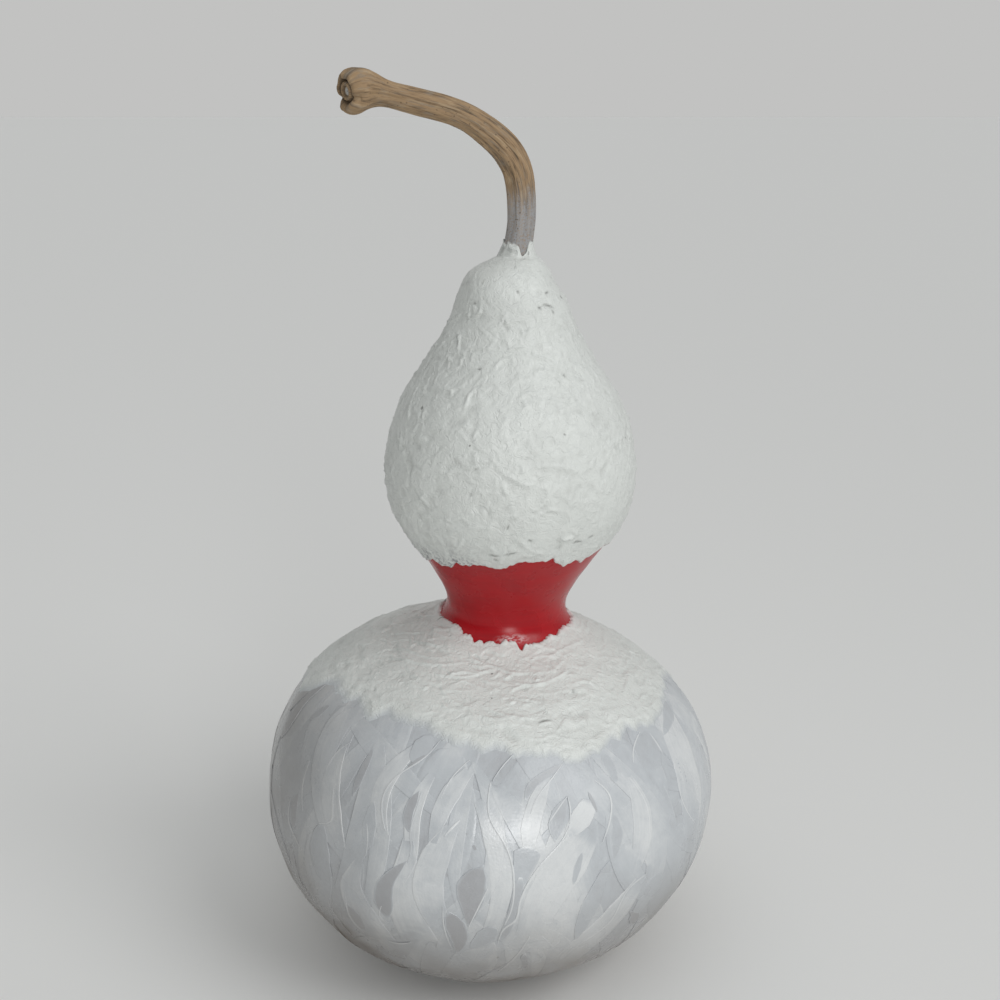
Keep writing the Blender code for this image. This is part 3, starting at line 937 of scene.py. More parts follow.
def strokeTree():
    # Sweeps each stroke's line into a leaf-shaped ribbon that clings to the bowl, its rim sunk in
    tree, add, given = newGeometryTree("layBrushStrokes", [
        ("Bowl", "NodeSocketObject", None),
        ("Points Across", "NodeSocketInt", 9),
        ("Level Step", "NodeSocketFloat", 0.00003),
        ("Bead", "NodeSocketFloat", 0.00004),
        ("Sink", "NodeSocketFloat", 0.00006),
        ("Paint", "NodeSocketMaterial", None),
    ])
    across, halfWidth, beadLeft, beadRight, crest, level, tip, underLeft, underRight = (
        add("GeometryNodeInputNamedAttribute", name, data_type="FLOAT") for name in (
            "across", "halfWidth", "beadLeft", "beadRight", "crest", "level", "tip",
            "underLeft", "underRight",
        )
    )
    railPoint, railUp, railWay, bowlOut = (
        add("GeometryNodeInputNamedAttribute", name, data_type="FLOAT_VECTOR")
        for name in ("railPoint", "railUp", "railWay", "out")
    )
    position = add("GeometryNodeInputPosition")
    curve = add("GeometryNodeMeshToCurve", given["Geometry"])
    curve = add(
        "GeometryNodeStoreNamedAttribute", curve, None, "railWay", add("GeometryNodeInputTangent"),
        data_type="FLOAT_VECTOR", domain="POINT",
    )
    # The section's points crowd towards the ribbon's edges, where its bead and its rim are
    line = add("GeometryNodeCurvePrimitiveLine", (-1, 0, 0), (1, 0, 0))
    line = add("GeometryNodeResampleCurve", line, None, given["Points Across"])
    at = add("ShaderNodeSeparateXYZ", position)
    inner = add("ShaderNodeMath", at, operation="ABSOLUTE")
    inner = add("ShaderNodeMath", 1.0, inner, use_clamp=True, **minus)
    crowded = add("ShaderNodeMath", 1.0, add("ShaderNodeMath", inner, 2.6, operation="POWER"), **minus)
    crowded = add("ShaderNodeMath", add("ShaderNodeMath", at, operation="SIGN"), crowded, **times)
    line = add(
        "GeometryNodeStoreNamedAttribute", line, None, "across", crowded, data_type="FLOAT", domain="POINT",
    )
    ribbon = add("GeometryNodeCurveToMesh", curve, line)
    side = add("ShaderNodeVectorMath", railUp, railWay, operation="CROSS_PRODUCT")
    side = add("ShaderNodeVectorMath", side, operation="NORMALIZE")
    reach = add("ShaderNodeMath", across, halfWidth, **times)
    side = add("ShaderNodeVectorMath", side, reach, operation="SCALE")
    spread = add("ShaderNodeVectorMath", railPoint, side, **plus)
    ribbon = add("GeometryNodeSetPosition", ribbon, None, spread)
    bowl = add("GeometryNodeObjectInfo", given["Bowl"], output="Geometry")
    landed, out = (
        add("GeometryNodeSampleNearestSurface", bowl, value, data_type="FLOAT_VECTOR")
        for value in (position, bowlOut)
    )
    edge = add("ShaderNodeMath", across, operation="ABSOLUTE")
    right = add("ShaderNodeMath", across, 0.0, operation="GREATER_THAN")
    bead = add("ShaderNodeMix", right, beadLeft, beadRight, data_type="FLOAT")
    bead = add("ShaderNodeMath", given["Bead"], bead, **times)
    bead = add("ShaderNodeMath", add("ShaderNodeMapRange", edge, 0.80, 0.94, **soft), bead, **times)
    dome = add("ShaderNodeMath", 1.0, add("ShaderNodeMath", edge, 2.0, operation="POWER"), **minus)
    proud = add("ShaderNodeMath", crest, dome, bead, **timesPlus)
    lift = add("ShaderNodeMath", level, given["Level Step"], proud, **timesPlus)
    # The rim and both tips go down into the paint below
    rim = add("ShaderNodeMath", edge, 0.9999, operation="GREATER_THAN")
    rim = add("ShaderNodeMath", rim, tip, operation="MAXIMUM")
    under = add("ShaderNodeMix", right, underLeft, underRight, data_type="FLOAT")
    under = add("ShaderNodeMath", under, given["Level Step"], **times)
    lift = add(
        "ShaderNodeMix", rim, lift, add("ShaderNodeMath", under, given["Sink"], **minus), data_type="FLOAT",
    )
    lifted = add("ShaderNodeVectorMath", out, lift, operation="SCALE")
    ribbon = add("GeometryNodeSetPosition", ribbon, None, add("ShaderNodeVectorMath", landed, lifted, **plus))
    endGeometryTree(add, ribbon, given["Paint"])
    return tree


def readNumbers(data, name):
    values = np.zeros(len(data.vertices), np.float32)
    data.attributes[name].data.foreach_get("value", values)
    return values


def readPoints(data):
    values = np.zeros(len(data.vertices) * 3)
    data.vertices.foreach_get("co", values)
    return values.reshape(-1, 3) / mm


def faceOutwards(piece, centre):
    # Turns the piece round if most of its faces look towards the centre line
    data = piece.data
    normals = np.zeros(len(data.polygons) * 3)
    middles = np.zeros(len(data.polygons) * 3)
    data.polygons.foreach_get("normal", normals)
    data.polygons.foreach_get("center", middles)
    away = middles.reshape(-1, 3) / mm - centre
    if (normals.reshape(-1, 3) * away).sum() < 0:
        data.flip_normals()


def sweepStrokes(name, paths, beads, unders, levels, crests, across, geometryTree):
    # Lines with all that the tree needs, swept into ribbons
    along = len(paths[0][0])
    points, ups, widths = (np.concatenate(values) for values in zip(*paths))
    share = np.linspace(0, 1, along)
    starts = np.arange(len(paths))[:, None] * along + np.arange(along - 1)
    lines = makePiece(name + "Lines", points, [], {
        "halfWidth": widths * mm,
        "level": np.repeat(levels, along),
        "crest": np.repeat(crests, along) * mm,
        "tip": np.tile((share == 0) | (share == 1), len(paths)),
        "beadLeft": np.concatenate([left for left, _ in beads]),
        "beadRight": np.concatenate([right for _, right in beads]),
        "underLeft": np.concatenate([left for left, _ in unders]),
        "underRight": np.concatenate([right for _, right in unders]),
        "strokeNumber": np.repeat(np.arange(len(paths)), along),
        "share": np.tile(share, len(paths)),
        "railPoint": points * mm,
        "railUp": ups,
    }, edges=np.stack([starts, starts + 1], axis=-1).reshape(-1, 2).tolist())
    return runGeometryTree(lines, geometryTree, {
        "Bowl": gourdPiece,
        "Points Across": across,
        "Level Step": strokes["levelStep"] * mm,
        "Bead": strokes["bead"] * mm,
        "Sink": strokes["sink"] * mm,
        "Paint": paintMaterial,
    }, name)


def colourStrokes(piece, paths, tones):
    # Paints each ribbon over what lies under it; tones gives a stroke's own tone at its points
    data = piece.data
    where = readPoints(data)
    across, share = readNumbers(data, "across"), readNumbers(data, "share")
    number = np.round(readNumbers(data, "strokeNumber")).astype(int)
    tone, streak, place = np.zeros(len(where)), np.zeros(len(where)), np.zeros((len(where), 3))
    for i, (points, _, widths) in enumerate(paths):
        mine = np.flatnonzero(number == i)
        a, s = across[mine], share[mine]
        tone[mine], streak[mine] = tones(i, where[mine], a, s)
        # Each stroke reads its own stretch of the bristle pattern
        place[mine, 0] = a * widths.max() + i * 37.0
        place[mine, 1] = s * chordLengths(points)[-1]
        place[mine, 2] = i * 5.3
    writeAttributes(data, {"tone": tone, "streak": streak, "brushPlace": place})
    faceOutwards(piece, np.array([0, 0, 80.0]))


def makeStrokes():
    geometryTree = strokeTree()
    plans = planStrokes()
    count = len(plans["tone"])
    grids = strokes["grids"]
    paths = [strokePath(planOf(plans, i), grids[0 if plans["early"][i] else 1][0]) for i in range(count)]
    levels = stackLevels(plans, paths)
    pieces = []
    for name, chosen, (along, across) in (
        ("firstStrokes", np.flatnonzero(plans["early"]), grids[0]),
        ("topStrokes", np.flatnonzero(~plans["early"]), grids[1]),
    ):
        share = np.linspace(0, 1, along)
        beads = [[beadOf(planOf(plans, i), side, share) for side in (-1, 1)] for i in chosen]
        mine = [paths[i] for i in chosen]
        unders = [rimLevels(plans, levels[:i], paths[i]) for i in chosen]
        flat = np.zeros(len(chosen))
        piece = sweepStrokes(name, mine, beads, unders, levels[chosen], flat, across, geometryTree)

        def tones(i, points, a, s):
            plan = planOf(plans, chosen[i])
            tone = paintOver(plan, underTone(plans, points, chosen[i]), a, s)
            return tone, 0.08 + 0.5 * plan["strength"] * (0.35 + 0.65 * ease(s))

        colourStrokes(piece, mine, tones)
        pieces.append(piece)
    pieces.append(makeSeenStrokes(plans, levels, geometryTree))
    return pieces, levels.max()


def makeSeenStrokes(plans, levels, geometryTree):
    along, across = strokes["grids"][2]
    share = np.linspace(0, 1, along)
    # Sweeps are kind 0, gaps kind 1 and ridges kind 2
    seen = [(*row, 0) for row in sweeps] + [(*row, 1) for row in gaps]
    tone, cover = strokes["ridgePaint"]
    seen += [(tone, cover, 0.0, 0.0, [(x, y, width) for x, y in line], 2) for width, line in ridges]
    found = [(row, seenPath(row[4], along)) for row in seen]
    kept, paths = zip(*[(row, path) for row, path in found if path])
    ranks, crests, beads, laid = [], [], [], []
    for (_, _, left, right, _, kind), path in zip(kept, paths):
        spread = spreadOf([values[::3] for values in path], strokes["touch"])
        rank = levelUnder(plans, levels, path)
        for other, places in enumerate(laid):
            if np.linalg.norm(spread[:, None] - places, axis=-1).min() < strokes["near"]:
                rank = max(rank, ranks[other])
        laid.append(spread)
        # A gap lies clear of the beads under it
        ranks.append(rank + (1, 4, 1)[kind])
        crests.append(strokes["ridgeCrest"] if kind == 2 else 0)
        widths = path[2]
        if kind == 1:
            # A gap has no square ends
            widths *= np.clip(np.minimum(share, 1 - share) / 0.16, 0.03, 1) ** 0.6
        if kind == 2:
            # A ridge thins out towards its ends
            widths *= 0.35 + 0.65 * np.sin(math.pi * share) ** 0.5
        beads.append((left * np.ones(along), right * np.ones(along)))
    unders = [rimLevels(plans, levels, path) for path in paths]
    piece = sweepStrokes(
        "markedStrokes", paths, beads, unders, np.array(ranks), np.array(crests), across, geometryTree,
    )

    def tones(i, points, a, s):
        own, strength, left, right, _, kind = kept[i]
        under = underTone(plans, points, len(levels))
        cover = strength * (
            ease(s / 0.15) * ease((1 - s) / 0.35),
            ease(s / 0.12) * ease((1 - s) / 0.12) * ease((1.08 - np.abs(a)) / 0.3),
            ease((1 - np.abs(a)) / 0.6) * (0.55 + 0.45 * np.sin(math.pi * s)),
        )[kind]
        tone = rimmed(under + (own - under) * cover, 0.7 * np.where(a < 0, left, right), a)
        return tone, np.full(len(s), 0.30 if kind == 0 else 0.10)

    colourStrokes(piece, paths, tones)
    return piece


strokePieces, highest = makeStrokes()
print("brush strokes laid", [len(p.data.polygons) for p in strokePieces], "levels", highest)


# Paste edges: pixels where the photograph shows them against the red, torn at random elsewhere
capEdge = {
    "pixels": [
        (424, 556), (430, 560), (434, 558), (438, 560), (443, 563.5), (449, 566), (455, 566.5), (457, 562),
        (461, 562), (466, 564), (475, 565.5), (485, 565.5), (492, 567), (499, 569), (504, 567), (511, 565),
        (517, 562), (525, 560), (531, 561), (536, 563), (541, 562), (546, 560), (553, 558), (556, 563),
        (560, 565.5), (564, 564.5), (569, 562),
        (576, 560), (582, 558), (588, 555), (593, 551.5), (596, 549), (597.8, 547),
    ],
    "mean": 214, "torn": 2.0, "frayed": 0.9, "uneven": 0.4, "seed": 5,
}
collarTop = {
    "pixels": [
        (449, 622), (453, 622.5), (455.5, 625.5), (458, 624.5), (461, 629), (463.5, 634.5), (466, 637),
        (469.5, 637), (472.5, 642), (476, 643), (479, 641.5), (482, 642.5), (487, 642), (489.5, 639.5),
        (493, 640.5), (497, 644),
        (500, 643), (504, 639.5), (508, 640), (512, 639.5), (515, 640.5), (518, 645), (521, 648), (524, 645),
        (529, 643), (536, 641.5), (542, 641.5), (546, 638), (549, 636), (552, 636), (556, 631), (558, 629.5),
        (562, 629), (565, 626.5),
    ],
    "mean": 172, "torn": 1.2, "frayed": 0.25, "uneven": 0.35, "seed": 6,
}
collarFoot = {
    "pixels": [
        (304, 668), (330, 690), (355, 706), (379, 719), (407, 728), (431, 734), (442, 741), (457, 746),
        (471, 750), (494, 756), (517, 759), (543, 762), (558, 761), (571, 763), (589, 758), (600, 751),
        (614, 746), (626, 733),
        (640, 729), (654, 727), (661, 712), (664, 694), (668, 680),
    ],
    "mean": 122, "torn": 4.0, "frayed": 0.3, "uneven": 0.6, "seed": 8,
}
for edge in (capEdge, collarTop, collarFoot):
    edge["traced"] = sorted(zip(*(values.tolist() for values in ringOf(seenOn(edge["pixels"])))))


edgeBlend = 20                  # degrees beyond its traced part over which an edge becomes a random one


def tornEdge(edge, azimuth, step=(3, 9)):
    # Heights of a torn edge, in mm, all round
    draw = np.random.default_rng(edge["seed"])
    angles = np.cumsum(draw.uniform(*step, 90))
    angles = angles[angles < 357]
    heights = edge["mean"] + draw.uniform(-edge["torn"], edge["torn"], len(angles))
    degrees = np.degrees(azimuth) % 360
    around = np.interp(degrees, angles, heights, period=360)
    tracedAt, tracedHeight = zip(*edge["traced"])
    signed = (degrees + 180) % 360 - 180
    front = np.interp(signed, tracedAt, tracedHeight)
    inside = ease((signed - tracedAt[0] + edgeBlend) / edgeBlend)
    inside = inside * ease((tracedAt[-1] + edgeBlend - signed) / edgeBlend)
    frayed = 0.22 * np.sin(61 * azimuth + 3 * np.sin(7 * azimuth))
    frayed += 0.16 * np.sin(97 * azimuth + 2 * np.sin(11 * azimuth))
    ring = np.stack([np.cos(azimuth), np.sin(azimuth), 0 * azimuth], axis=1) * 100
    uneven = softNoise(ring, 13, edge["seed"]) + 0.5 * softNoise(ring, 5, edge["seed"] + 1)
    return around * (1 - inside) + front * inside + edge["frayed"] * frayed + edge["uneven"] * uneven


# Trowel marks: each flattens what it crosses, drags fine lines and pushes up a ridge at its sides and end
capMarks = {
    "seed": 31, "count": 2300, "cell": 0.5, "halfLength": (3, 10), "halfWidth": (1.4, 4.2), "ridge": 0.50,
    "flatten": 0.75, "lines": 0.06, "turn": None, "thickness": 1.3, "floor": 0.35,
    "seenRidge": 0.66, "seenWidth": 0.7,
    "rimPower": 0.5,            # 0.5 gives a rounded lip, more a gentle ramp
    "scratches": [
        [(540, 306), (546, 306.5), (551, 309)], [(536, 308), (540, 310)], [(543, 295), (546, 293)],
        [(558, 297), (559.5, 300)], [(549, 312), (552, 314)], [(516, 292), (518, 294)],
        [(475, 303), (478, 304)], [(478, 370), (482, 371)],
        [(561, 376), (564, 378)], [(476, 468), (478, 469.5)], [(507, 525), (509, 528)],
        [(528, 538), (531, 540)],
        [(471, 494), (473, 495)], [(572, 540), (580, 539)], [(586, 536), (592, 534)],
        [(489, 553), (500, 554)], [(504, 553), (516, 551)], [(494, 557), (498, 559)],
    ],
    # Ridges that stand out in the photograph, in pixels
    "seen": [
        [(493.7, 372), (498.3, 364), (508.6, 359.4), (520, 360.6)],
        [(527, 356.5), (540.8, 359.4), (550, 365), (556, 370)],
        [(504, 355), (513, 350), (522, 347.5)],
        [(517.8, 402), (522.4, 396.2), (531.6, 394.3), (542, 395.7)],
        [(501.7, 483.5), (505, 491.5), (509.8, 496)],
        [(470.7, 461), (483.4, 461.6), (496, 459.3)],
        [(416.7, 483.5), (421.3, 495), (428.2, 504), (430.5, 512)],
        [(423.6, 382.4), (416.7, 393.9), (412.2, 405.4), (411, 423.7)],
        [(427, 407.7), (423.6, 421.4)],
        [(462.7, 414.6), (468.4, 400.8), (471.9, 393.9), (481, 390.4), (485.7, 392.7)],
        [(593.6, 454.7), (591.3, 463.9), (586.7, 467.4)],
        [(494.8, 458.2), (499.4, 469.7), (508.6, 476.6), (517.8, 481), (529.3, 485.8), (536.2, 481)],
        [(609.7, 400.8), (606.2, 391.6), (600.5, 387)],
        [(452.3, 511), (448.9, 519), (465, 519), (470.7, 526)],
        [(444.3, 377.8), (448.9, 373.2), (460.4, 367.5), (462.7, 361.7)],
        [(401.8, 423.7), (400.7, 437.5), (403, 451.3)],
        [(625, 430), (627, 458), (621, 481)],
        [(481, 304), (481.5, 312), (475, 317), (468, 315)],
        [(459, 332), (461.5, 343.4), (460.4, 350)],
        [(467, 350), (478.8, 349.8), (494.8, 350)],
        [(560, 395), (566, 401), (571, 400)],
        [(540, 513), (548, 509.5), (560, 511)],
        [(554, 536), (565, 537.5), (574, 534), (570, 528)],
        [(500, 327), (512, 322), (528, 322)],
    ],
}
collarMarks = {
    "seed": 33, "count": 1300, "cell": 0.5, "halfLength": (4, 15), "halfWidth": (1.3, 3.6), "ridge": 0.42,
    "flatten": 0.75, "lines": 0.06, "turn": 0.32, "thickness": 1.3, "floor": 0.30,
    "seenRidge": 0.5, "seenWidth": 0.7,
    "rimPower": 1.3,
    "scratches": [
        [(446, 616), (442, 619), (438, 622)], [(537, 725), (544, 722.5), (551, 722)],
        [(571, 692), (574, 693)],
        [(666, 709), (668, 713)],
    ],
    "seen": [
        [(407.8, 621), (422, 618.8), (439.3, 616)],
        [(382, 630.3), (393.4, 627.5), (402, 624.6)],
        [(383.4, 637), (399, 635.2), (410.6, 635.2), (430.7, 633.2)],
        [(390.6, 643.2), (404.9, 641.8), (419.3, 643.2), (430.7, 646), (448, 648.4)],
        [(373.3, 656), (393.4, 650.4), (413.5, 653.3), (430.7, 659), (448, 659)],
        [(379, 661), (396.3, 659.5), (419.3, 664.8), (442.2, 666.2), (468, 663.3)],
        [(422, 673.4), (448, 677.7), (471, 677.7), (488, 672), (511, 669)],
        [(479.5, 669), (488, 667), (499.6, 670.5), (514, 674.8), (529.8, 674.8)],
        [(511, 683.4), (528.3, 686.3), (545.5, 684.9)],
        [(508, 696.3), (514, 690.6), (531, 686.3)],
        [(508, 698.5), (522.6, 701), (534, 701.5)],
        [(537, 725), (551.3, 723.6)],
        [(422, 692), (430.7, 686.3)],
        [(571.4, 686.3), (585.7, 683.4), (600, 692)],
        [(623, 651.8), (631.7, 654.7), (640.3, 657.6)],
        [(585.7, 654.7), (594.3, 660.5)],
        [(447, 679), (460, 674), (478, 676)],
    ],
}


def trowelled(marks, low, high):
    # A field of heights in mm over the lengths from low to high and all round, and its creases from 0 to 1
    draw = np.random.default_rng(marks["seed"])
    cell = marks["cell"]
    rows = int((high - low) / cell) + 1
    lengths = np.linspace(low, high, rows)
    widest = radiusAt(lengths).max()
    columns = int(2 * math.pi * widest / cell)
    angle = np.arange(columns) * 2 * math.pi / columns
    reach = radiusAt(lengths)[:, None]
    upward = np.repeat(lengths[:, None], columns, 1)
    spots = np.stack([reach * np.cos(angle), reach * np.sin(angle), upward], axis=-1)
    height = 0.22 * softNoise(spots, 13, marks["seed"]) + 0.12 * softNoise(spots, 5, marks["seed"] + 1)
    for _ in range(marks["count"]):
        row, column = draw.integers(rows), draw.integers(columns)
        a, b = draw.uniform(*marks["halfLength"]), draw.uniform(*marks["halfWidth"])
        if marks["turn"] is None:
            turn = draw.uniform(0, math.pi * 2)
        else:
            turn = draw.normal(0, marks["turn"]) + math.pi * (draw.random() < 0.5)
        curl = draw.normal(0, 0.02)
        span = 1.25 * a + 1.5
        r = reach[row, 0]
        i = np.arange(max(0, int(row - span / cell)), min(rows, int(row + span / cell) + 1))
        half = min(int(span / cell * widest / r), columns // 2 - 1)
        j = np.arange(column - half, column + half + 1)
        dx = (j - column)[None, :] * (2 * math.pi / columns) * r
        dy = (lengths[i] - lengths[row])[:, None]
        x = dx * math.cos(turn) + dy * math.sin(turn)
        y = dy * math.cos(turn) - dx * math.sin(turn)
        y = y - curl * x * x
        away = np.sqrt((x / a) ** 2 + (y / b) ** 2) + 1e-6
        inside = ease((1.05 - away) / 0.25)
        patch = np.ix_(i, j % columns)
        old = height[patch]
        if inside.sum() < 4:
            continue
        level = (old * inside).sum() / inside.sum()
        pitch = draw.uniform(0.9, 1.5)
        drag = marks["lines"] * np.sin(2 * math.pi * y / pitch + draw.uniform(0, 6)) * draw.uniform(0.2, 1)
        new = old + (level + drag + 0.10 * x / a - old) * inside * marks["flatten"]
        rim = np.exp(-(((away - 1.04) * b / 0.55) ** 2))
        onSide = draw.random() >= 0.5
        share = 0.2 + 0.8 * ease(y / b + 0.3) if onSide else 0.25 + 0.75 * ease((x / a + 0.2) / 0.8)
        new += marks["ridge"] * draw.uniform(0.15, 1.0) * rim * share
        height[patch] = new
    height -= height.mean()
    calm = height
    for shift in (1, 2, 3, 4):
        calm = (calm + np.roll(calm, shift, 1) + np.roll(calm, -shift, 1)) / 3
        padded = np.pad(calm, ((shift, shift), (0, 0)), mode="edge")
        calm = (calm + padded[:-2 * shift] + padded[2 * shift:]) / 3
    return height, ease((calm - height) / 0.35)


def readField(field, low, high, length, azimuth):
    rows, columns = field.shape
    row = np.clip((length - low) / (high - low), 0, 1) * (rows - 1.001)
    column = (azimuth / (2 * math.pi) % 1) * columns
    i, j = np.floor(row).astype(int), np.floor(column).astype(int)
    u, v = row - i, column - j
    j0, j1 = j % columns, (j + 1) % columns
    return (
        field[i, j0] * (1 - u) * (1 - v) + field[i, j1] * (1 - u) * v
        + field[i + 1, j0] * u * (1 - v) + field[i + 1, j1] * u * v
    )


def nearLine(points, pixels):
    # Which points lie near a line seen in the photograph, how far off and below it, and its taper there
    knots = seenOn(pixels)
    run = chordLengths(knots)
    line = smoothCurve(run, knots, np.linspace(0, run[-1], 40))
    near = np.linalg.norm(points - line.mean(axis=0), axis=-1) < run[-1] / 2 + 6
    away = points[near][:, None, :] - line
    far = np.linalg.norm(away, axis=-1)
    nearest = far.argmin(axis=1)
    taper = np.sin(math.pi * np.clip(nearest / 39, 0.03, 0.97)) ** 0.6
    return near, far.min(axis=1), -away[np.arange(len(far)), nearest, 2], taper


def seenRelief(points, marks):
    # The photograph's own ridges, each a crest with a furrow below it, in mm, and its scratches from 0 to 1
    ridges, scratches = np.zeros(points.shape[:-1]), np.zeros(points.shape[:-1])
    width = marks["seenWidth"]
    for pixels in marks["seen"]:
        near, far, below, taper = nearLine(points, pixels)
        furrow = np.exp(-(((far - 1.9 * width) / (0.9 * width)) ** 2)) * ease(0.5 + below)
        ridges[near] += marks["seenRidge"] * taper * (np.exp(-((far / width) ** 2)) - 0.5 * furrow)
    for pixels in marks["scratches"]:
        near, far, _, taper = nearLine(points, pixels)
        scratches[near] = np.maximum(scratches[near], taper * np.exp(-((far / 0.5) ** 2)))
    return ridges - 0.3 * scratches, scratches


# Both coats: rows crowd at the rims, and the crown round the stem is smoothed off
coat = {
    "rimRows": np.array([0, 0.15, 0.4, 0.8, 1.3, 1.9]) / 60,     # shares of the way from one rim to the other
    "backRows": 14,
    "sunk": 0.12,               # mm, the plain back lies this far inside the rind
    "crownFrom": 318,
    "crownOver": 14,
    "crownCalm": 0.65,
}


def coatPiece(lowLength, highLength, azimuth, rows, marks, feather):
    # A closed coat: its worked face from the low edge to the high one, then its plain back
    edge = coat["rimRows"]
    shares = np.concatenate([edge[:-1], np.linspace(edge[-1], 1 - edge[-1], rows), 1 - edge[-2::-1]])
    length = lowLength + (highLength - lowLength) * shares[:, None]
    low, high = length.min(), length.max()
    wide = azimuth[None, :] + 0 * length
    relief, crease = (readField(field, low, high, length, wide) for field in trowelled(marks, low, high))
    base, out = rind(length, azimuth[None, :])
    fromLow, fromHigh = length - lowLength, highLength - length
    rim = np.clip(1 - (1 - np.clip(fromLow / feather[0], 0, 1)) ** 2, 0, 1) ** marks["rimPower"]
    if feather[1]:
        rim = rim * np.sqrt(np.clip(1 - (1 - np.clip(fromHigh / feather[1], 0, 1)) ** 2, 0, 1))
    calm = ease(np.minimum(fromLow / (feather[0] + 1), fromHigh / (feather[1] + 1)))
    ridges, scratch = seenRelief(base, marks)
    crown = ease((heightAt(length) - coat["crownFrom"]) / coat["crownOver"])
    relief = relief * (1 - coat["crownCalm"] * crown) + ridges
    thick = np.maximum(marks["thickness"] + relief * (0.35 + 0.65 * calm), marks["floor"])
    face = base + out * (thick * rim - 0.05 * (rim < 0.02))[..., None]
    backShares = shares[np.linspace(0, len(shares) - 1, coat["backRows"]).astype(int)[::-1]]
    back, backOut = rind(lowLength + (highLength - lowLength) * backShares[:, None], azimuth[None, :])
    return face, back - backOut * coat["sunk"], fromLow, fromHigh, {"crease": crease, "scratch": scratch}


def closeCoat(name, face, back, numbers):
    grid = np.concatenate([face, back])
    quads = ringQuads(len(grid), face.shape[1], closed=True).tolist()
    flat = np.zeros(back.shape[:2])
    extra = {key: np.concatenate([values, flat]).ravel() for key, values in numbers.items()}
    return makePiece(name, grid.reshape(-1, 3), quads, extra, (pasteMaterial,))


# The paste goes up round the stem's foot in a small ragged cone, with one gap at the front
stemFoot = {
    "centre": 12.1,             # mm from the axis, as are the next two
    "radius": 7.0,
    "hollow": 0.9,              # share of the radius, and how far its middle is shifted
    "hollowShift": 1.2,
    "axis": 11.8,               # the middle of the stem's own foot
    "coneTop": 352.2,
    "coneGap": 5.0,             # how far down the wood shows in the gap
    "paintTop": 352.8,          # white smeared on the wood, and how much lower it is in the gap
    "paintGap": 7.5,
    "gapAt": -68,               # azimuth and half width of the gap, in degrees
    "gapHalf": 17,
}


def inGap(degrees):
    return np.exp(-(((degrees - stemFoot["gapAt"]) / stemFoot["gapHalf"]) ** 4))


def makeCap():
    columns = 450
    azimuth, signed = allRound(columns)
    low = lengthAt(tornEdge(capEdge, azimuth))
    high = np.full(columns, fineLengths[-1] - 1.6)
    face, back, fromLow, _, marks = coatPiece(low, high, azimuth, 184, capMarks, (1.1, 0))
    ragged = 0.7 * np.sin(2 * azimuth + 2.2) + 0.4 * np.sin(5 * azimuth) + 0.3 * np.sin(11 * azimuth + 1)
    ragged -= stemFoot["coneGap"] * inGap(signed)
    centre, radius = stemFoot["centre"], stemFoot["radius"]
    top = np.column_stack([
        centre + radius * np.cos(azimuth), radius * np.sin(azimuth), stemFoot["coneTop"] + ragged,
    ])
    turn = np.linspace(0, math.pi / 2, 12)[1:, None, None]
    rise = 0.2 * turn * 2 / math.pi + 0.8 * (1 - np.cos(turn))
    cone = face[-1] + (top - face[-1]) * np.concatenate([np.sin(turn), np.sin(turn), rise], axis=2)
    hollow = stemFoot["hollow"]
    inner = top * (hollow, hollow, 1) + (stemFoot["hollowShift"], 0, 0)
    worked = face
    face = np.concatenate([face, cone, [inner]])
    # Grey scrapes where the paste thins out, mostly low on the left
    left = ease((-100 - signed) / 14) * ease((signed + 175) / 20)
    scraped = 0.5 + 0.5 * ease(0.5 + 0.6 * softNoise(worked, 7, 51))
    marks["stain"] = left * ease(1 - fromLow / 17) * scraped
    marks["stain"] += 0.5 * np.exp(-fromLow / 2.5) * ease(0.6 * softNoise(worked, 9, 54))
    marks["pink"] = 0.25 * np.exp(-fromLow / 0.8)
    marks["thin"] = 0 * fromLow
    fill = np.zeros((len(cone) + 1, columns))
    marks = {key: np.concatenate([values, fill]) for key, values in marks.items()}
    return closeCoat("textureCap", face, back, marks)


# Width of the collar's thin foot, in mm, at an azimuth in degrees
collarFade = [(-170, 13), (-140, 9), (-112, 8), (-95, 7), (-70, 6.5), (-40, 6), (0, 7), (60, 12), (120, 14)]


def makeCollar():
    columns = 640
    azimuth, signed = allRound(columns)
    low = lengthAt(tornEdge(collarFoot, azimuth, (9, 24)))
    high = lengthAt(tornEdge(collarTop, azimuth))
    # The foot thins out slowly at the left and behind, and ends almost crisply at the front and the right
    fade = np.interp(signed, *zip(*collarFade), period=360)
    face, back, fromLow, fromHigh, marks = coatPiece(low, high, azimuth, 104, collarMarks, (fade, 1.1))
    marks["stain"] = 0.2 * np.exp(-fromLow / 6) * ease(0.5 + 0.5 * softNoise(face, 9, 52))
    marks["pink"] = 0.45 * np.exp(-fromHigh / 2.2) * ease(0.3 + 0.5 * softNoise(face, 6, 53))
    marks["thin"] = 0.85 * ease(1 - fromLow / (0.8 * fade)) ** 1.3
    return closeCoat("textureCollar", face, back, marks)


capPiece = makeCap()
collarPiece = makeCollar()
print("paste coats made", len(capPiece.data.polygons), len(collarPiece.data.polygons))


